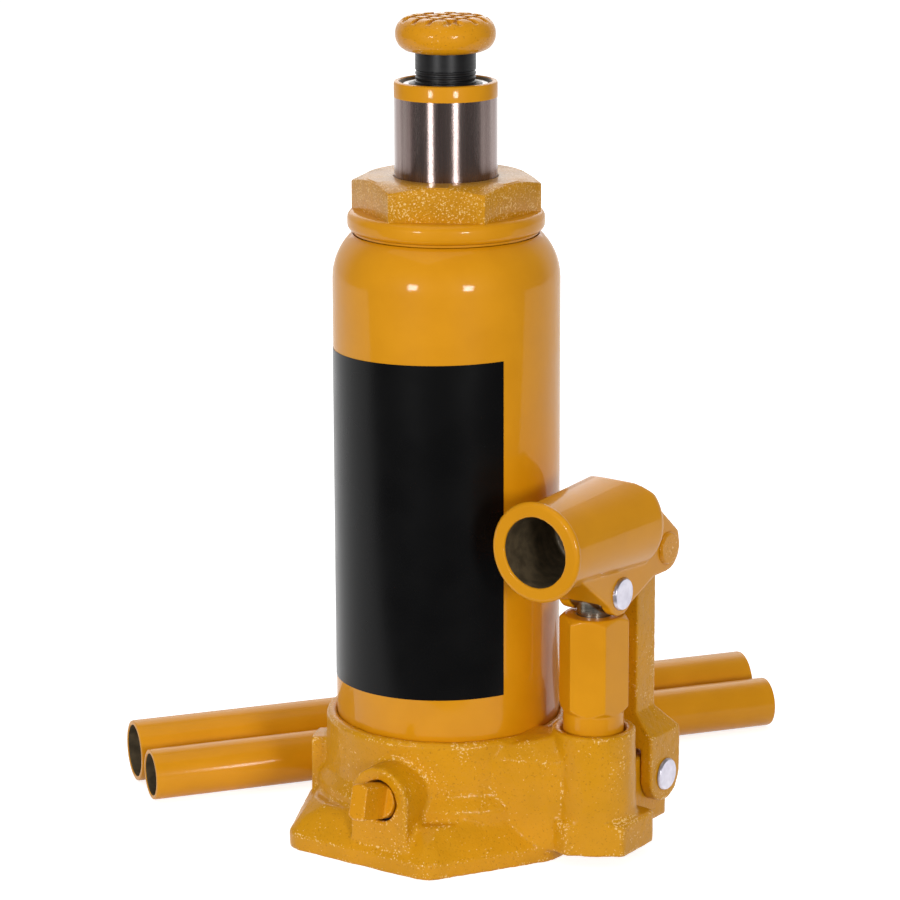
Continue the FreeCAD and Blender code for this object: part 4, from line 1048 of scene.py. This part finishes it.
class HiddenParts:
    """CAD nodes that stay as they are and only get a finish."""

    LOOKS = {
        "seal_rubber": Look.RUBBER, "gasket_copper": Look.COPPER,
        "ground_steel": Look.TURNED_STEEL, "rivet_steel": Look.PIN_ZINC,
    }

    def build(self) -> None:
        """Dress every CAD node that still shows."""
        slots = {row["node"]: row["material_slot"] for row in frame["record"]["subparts"]}
        for name, node in frame["nodes"].items():
            if node.hide_render:
                continue
            material = self.LOOKS[slots[name]].material()
            for index in range(len(node.material_slots)):
                node.material_slots[index].material = material
            LOG.info("%s keeps its shape", name)


# ---------------------------------------------------------------- studio
# Sizes are in metres, turns in degrees and lamps in watts.

@dataclass
class Studio:
    """Floor, world, lamps and the camera."""

    azimuth: float = 35.0
    distance: float = 0.9999
    height: float = 0.36285
    pitch: float = 13.8786
    yaw: float = 0.1583
    roll: float = -0.1886
    lens: float = 139.484
    sensor: float = 36.0
    near: float = 0.01
    far: float = 100.0
    shift: float = -0.00718
    aim: float = 0.11
    sheet: float = 3.0
    sheet_front: float = 0.11
    paper: Color = (0.72, 0.72, 0.72)
    paper_shade: Color = (0.70, 0.70, 0.70)
    paper_patch: float = 400.0
    paper_roughness: float = 0.9
    paper_glow: float = 0.78
    fill: float = 0.42
    room: float = 0.16
    wall_start: float = 0.35
    wall_full: float = 0.7

    def build(self) -> None:
        """Set up everything that isn't the jack."""
        self.floor()
        self.world()
        self.lamps()
        self.camera()
        bpy.context.scene.view_settings.view_transform = "Standard"

    def toward(self, azimuth: float, elevation: float, reach: float) -> Vector:
        """Return a point round the jack.

        Args:
            azimuth: Degrees from the front, towards the pump.
            elevation: Degrees above the floor.
            reach: Distance, metres.
        """
        turn, rise = math.radians(azimuth), math.radians(elevation)
        flat = Vector((math.sin(turn), -math.cos(turn), 0)) * math.cos(rise)
        return (flat + UP * math.sin(rise)) * reach

    def floor(self) -> None:
        """Lay a white sheet under and behind the jack: it is white to view and keeps shadows."""
        form = bmesh.new()
        bmesh.ops.create_grid(form, x_segments=1, y_segments=1, size=self.sheet / 2)
        back = -self.toward(self.azimuth, 0.0, self.sheet / 2 - self.sheet_front)
        bmesh.ops.transform(form, verts=form.verts, matrix=Matrix.Translation(back)
                            @ Matrix.Rotation(math.radians(self.azimuth), 4, "Z"))
        plane = add_object("studio_floor", form)
        shader = Shader("white_paper")
        shader.tint(shader.pattern(self.paper_patch), self.paper_shade, self.paper)
        shader.surface.inputs["Roughness"].default_value = self.paper_roughness
        shader.surface.inputs["Specular IOR Level"].default_value = 0.0
        path = shader.add("ShaderNodeLightPath")
        seen = self.seen(shader.tree, path)
        share = shader.add("ShaderNodeMath")
        share.operation = "MULTIPLY"
        share.inputs[1].default_value = self.paper_glow
        shader.join(seen, 0, share, 0)
        shader.surface.inputs["Emission Color"].default_value = (1, 1, 1, 1)
        shader.join(share, 0, shader.surface, "Emission Strength")
        plane.data.materials.append(shader.material)

    def seen(self, tree: bpy.types.NodeTree, path: bpy.types.Node) -> bpy.types.Node:
        """Return a node that is 1 for camera, mirror and glass rays and 0 for the rest.

        Args:
            tree: The material's or world's node tree.
            path: Its Light Path node.

        Returns:
            The last of the two maths nodes.
        """
        last = path.outputs["Is Camera Ray"]
        for kind in ("Is Glossy Ray", "Is Transmission Ray"):
            either = tree.nodes.new("ShaderNodeMath")
            either.operation = "MAXIMUM"
            tree.links.new(last, either.inputs[0])
            tree.links.new(path.outputs[kind], either.inputs[1])
            last = either.outputs[0]
        return either

    def world(self) -> None:
        """Surround the jack with a white backdrop, a dim room in front and an even fill."""
        world = bpy.data.worlds.new("surround")
        bpy.context.scene.world = world
        world.use_nodes = True
        tree = world.node_tree
        tree.nodes.clear()
        link = tree.links.new
        path = tree.nodes.new("ShaderNodeLightPath")
        seen = self.seen(tree, path)
        place = tree.nodes.new("ShaderNodeTexCoord")
        facing = tree.nodes.new("ShaderNodeVectorMath")
        facing.operation = "DOT_PRODUCT"
        facing.inputs[1].default_value = -self.toward(self.azimuth, 0.0, 1.0)
        link(place.outputs["Generated"], facing.inputs[0])
        wall = tree.nodes.new("ShaderNodeMapRange")
        wall.interpolation_type = "SMOOTHSTEP"
        for name, value in (("From Min", self.wall_start), ("From Max", self.wall_full),
                            ("To Min", self.room), ("To Max", 1.0)):
            wall.inputs[name].default_value = value
        link(facing.outputs["Value"], wall.inputs["Value"])
        shown = tree.nodes.new("ShaderNodeMath")
        shown.operation = "MAXIMUM"
        link(wall.outputs["Result"], shown.inputs[0])
        link(path.outputs["Is Camera Ray"], shown.inputs[1])
        fill = tree.nodes.new("ShaderNodeBackground")
        fill.inputs["Strength"].default_value = self.fill
        view = tree.nodes.new("ShaderNodeBackground")
        link(shown.outputs[0], view.inputs["Strength"])
        for glow in (fill, view):
            glow.inputs["Color"].default_value = (1, 1, 1, 1)
        blend = tree.nodes.new("ShaderNodeMixShader")
        output = tree.nodes.new("ShaderNodeOutputWorld")
        link(seen.outputs[0], blend.inputs[0])
        link(fill.outputs[0], blend.inputs[1])
        link(view.outputs[0], blend.inputs[2])
        link(blend.outputs[0], output.inputs["Surface"])

    def lamps(self) -> None:
        """Hang two small boxes beside the camera, and broad ones overhead and behind."""
        for name, azimuth, elevation, reach, size, power in (
                ("left_box", self.azimuth - 33.5, 9.0, 1.3, 0.21, 5.6),
                ("right_box", self.azimuth + 21.5, 9.0, 1.3, 0.21, 5.7),
                ("top_box", self.azimuth - 60.0, 78.0, 1.4, 1.2, 3.2),
                ("rear_box", self.azimuth + 180.0, 32.0, 1.7, 1.4, 8.0)):
            light = bpy.data.lights.new(name, "AREA")
            light.shape = "SQUARE"
            light.size = size
            light.energy = power
            lamp = bpy.data.objects.new(name, light)
            spot = self.toward(azimuth, elevation, reach)
            lamp.location = spot + self.aim * UP
            lamp.rotation_euler = (-spot).to_track_quat("-Z", "Y").to_euler()
            bpy.context.scene.collection.objects.link(lamp)

    def camera(self) -> None:
        """Set the camera at the viewing angle."""
        lens = bpy.data.cameras.new("view")
        lens.lens = self.lens
        lens.sensor_width = self.sensor
        lens.shift_x = self.shift
        lens.clip_start = self.near
        lens.clip_end = self.far
        view = bpy.data.objects.new("view", lens)
        turn = math.radians(self.azimuth)
        view.location = self.toward(self.azimuth, 0.0, self.distance) + UP * self.height
        look = Matrix.Rotation(turn - math.radians(self.yaw), 4, "Z")
        tilt = Matrix.Rotation(math.radians(90.0 - self.pitch), 4, "X")
        lean = Matrix.Rotation(math.radians(self.roll), 4, "Z")
        view.rotation_euler = (look @ tilt @ lean).to_euler()
        bpy.context.scene.collection.objects.link(view)
        bpy.context.scene.camera = view


def main() -> None:
    """Build the studio and every sub-assembly."""
    logging.basicConfig(level=logging.INFO, format="%(name)s: %(message)s")
    Studio().build()
    for part in (BaseAndTank(), RamAndScrew(), PumpAndLever(), Valve(), Handles(),
                 DeliverySpring(), HiddenParts()):
        part.build()
        LOG.info("%s done", type(part).__name__)


if __name__ == "__main__":
    main()
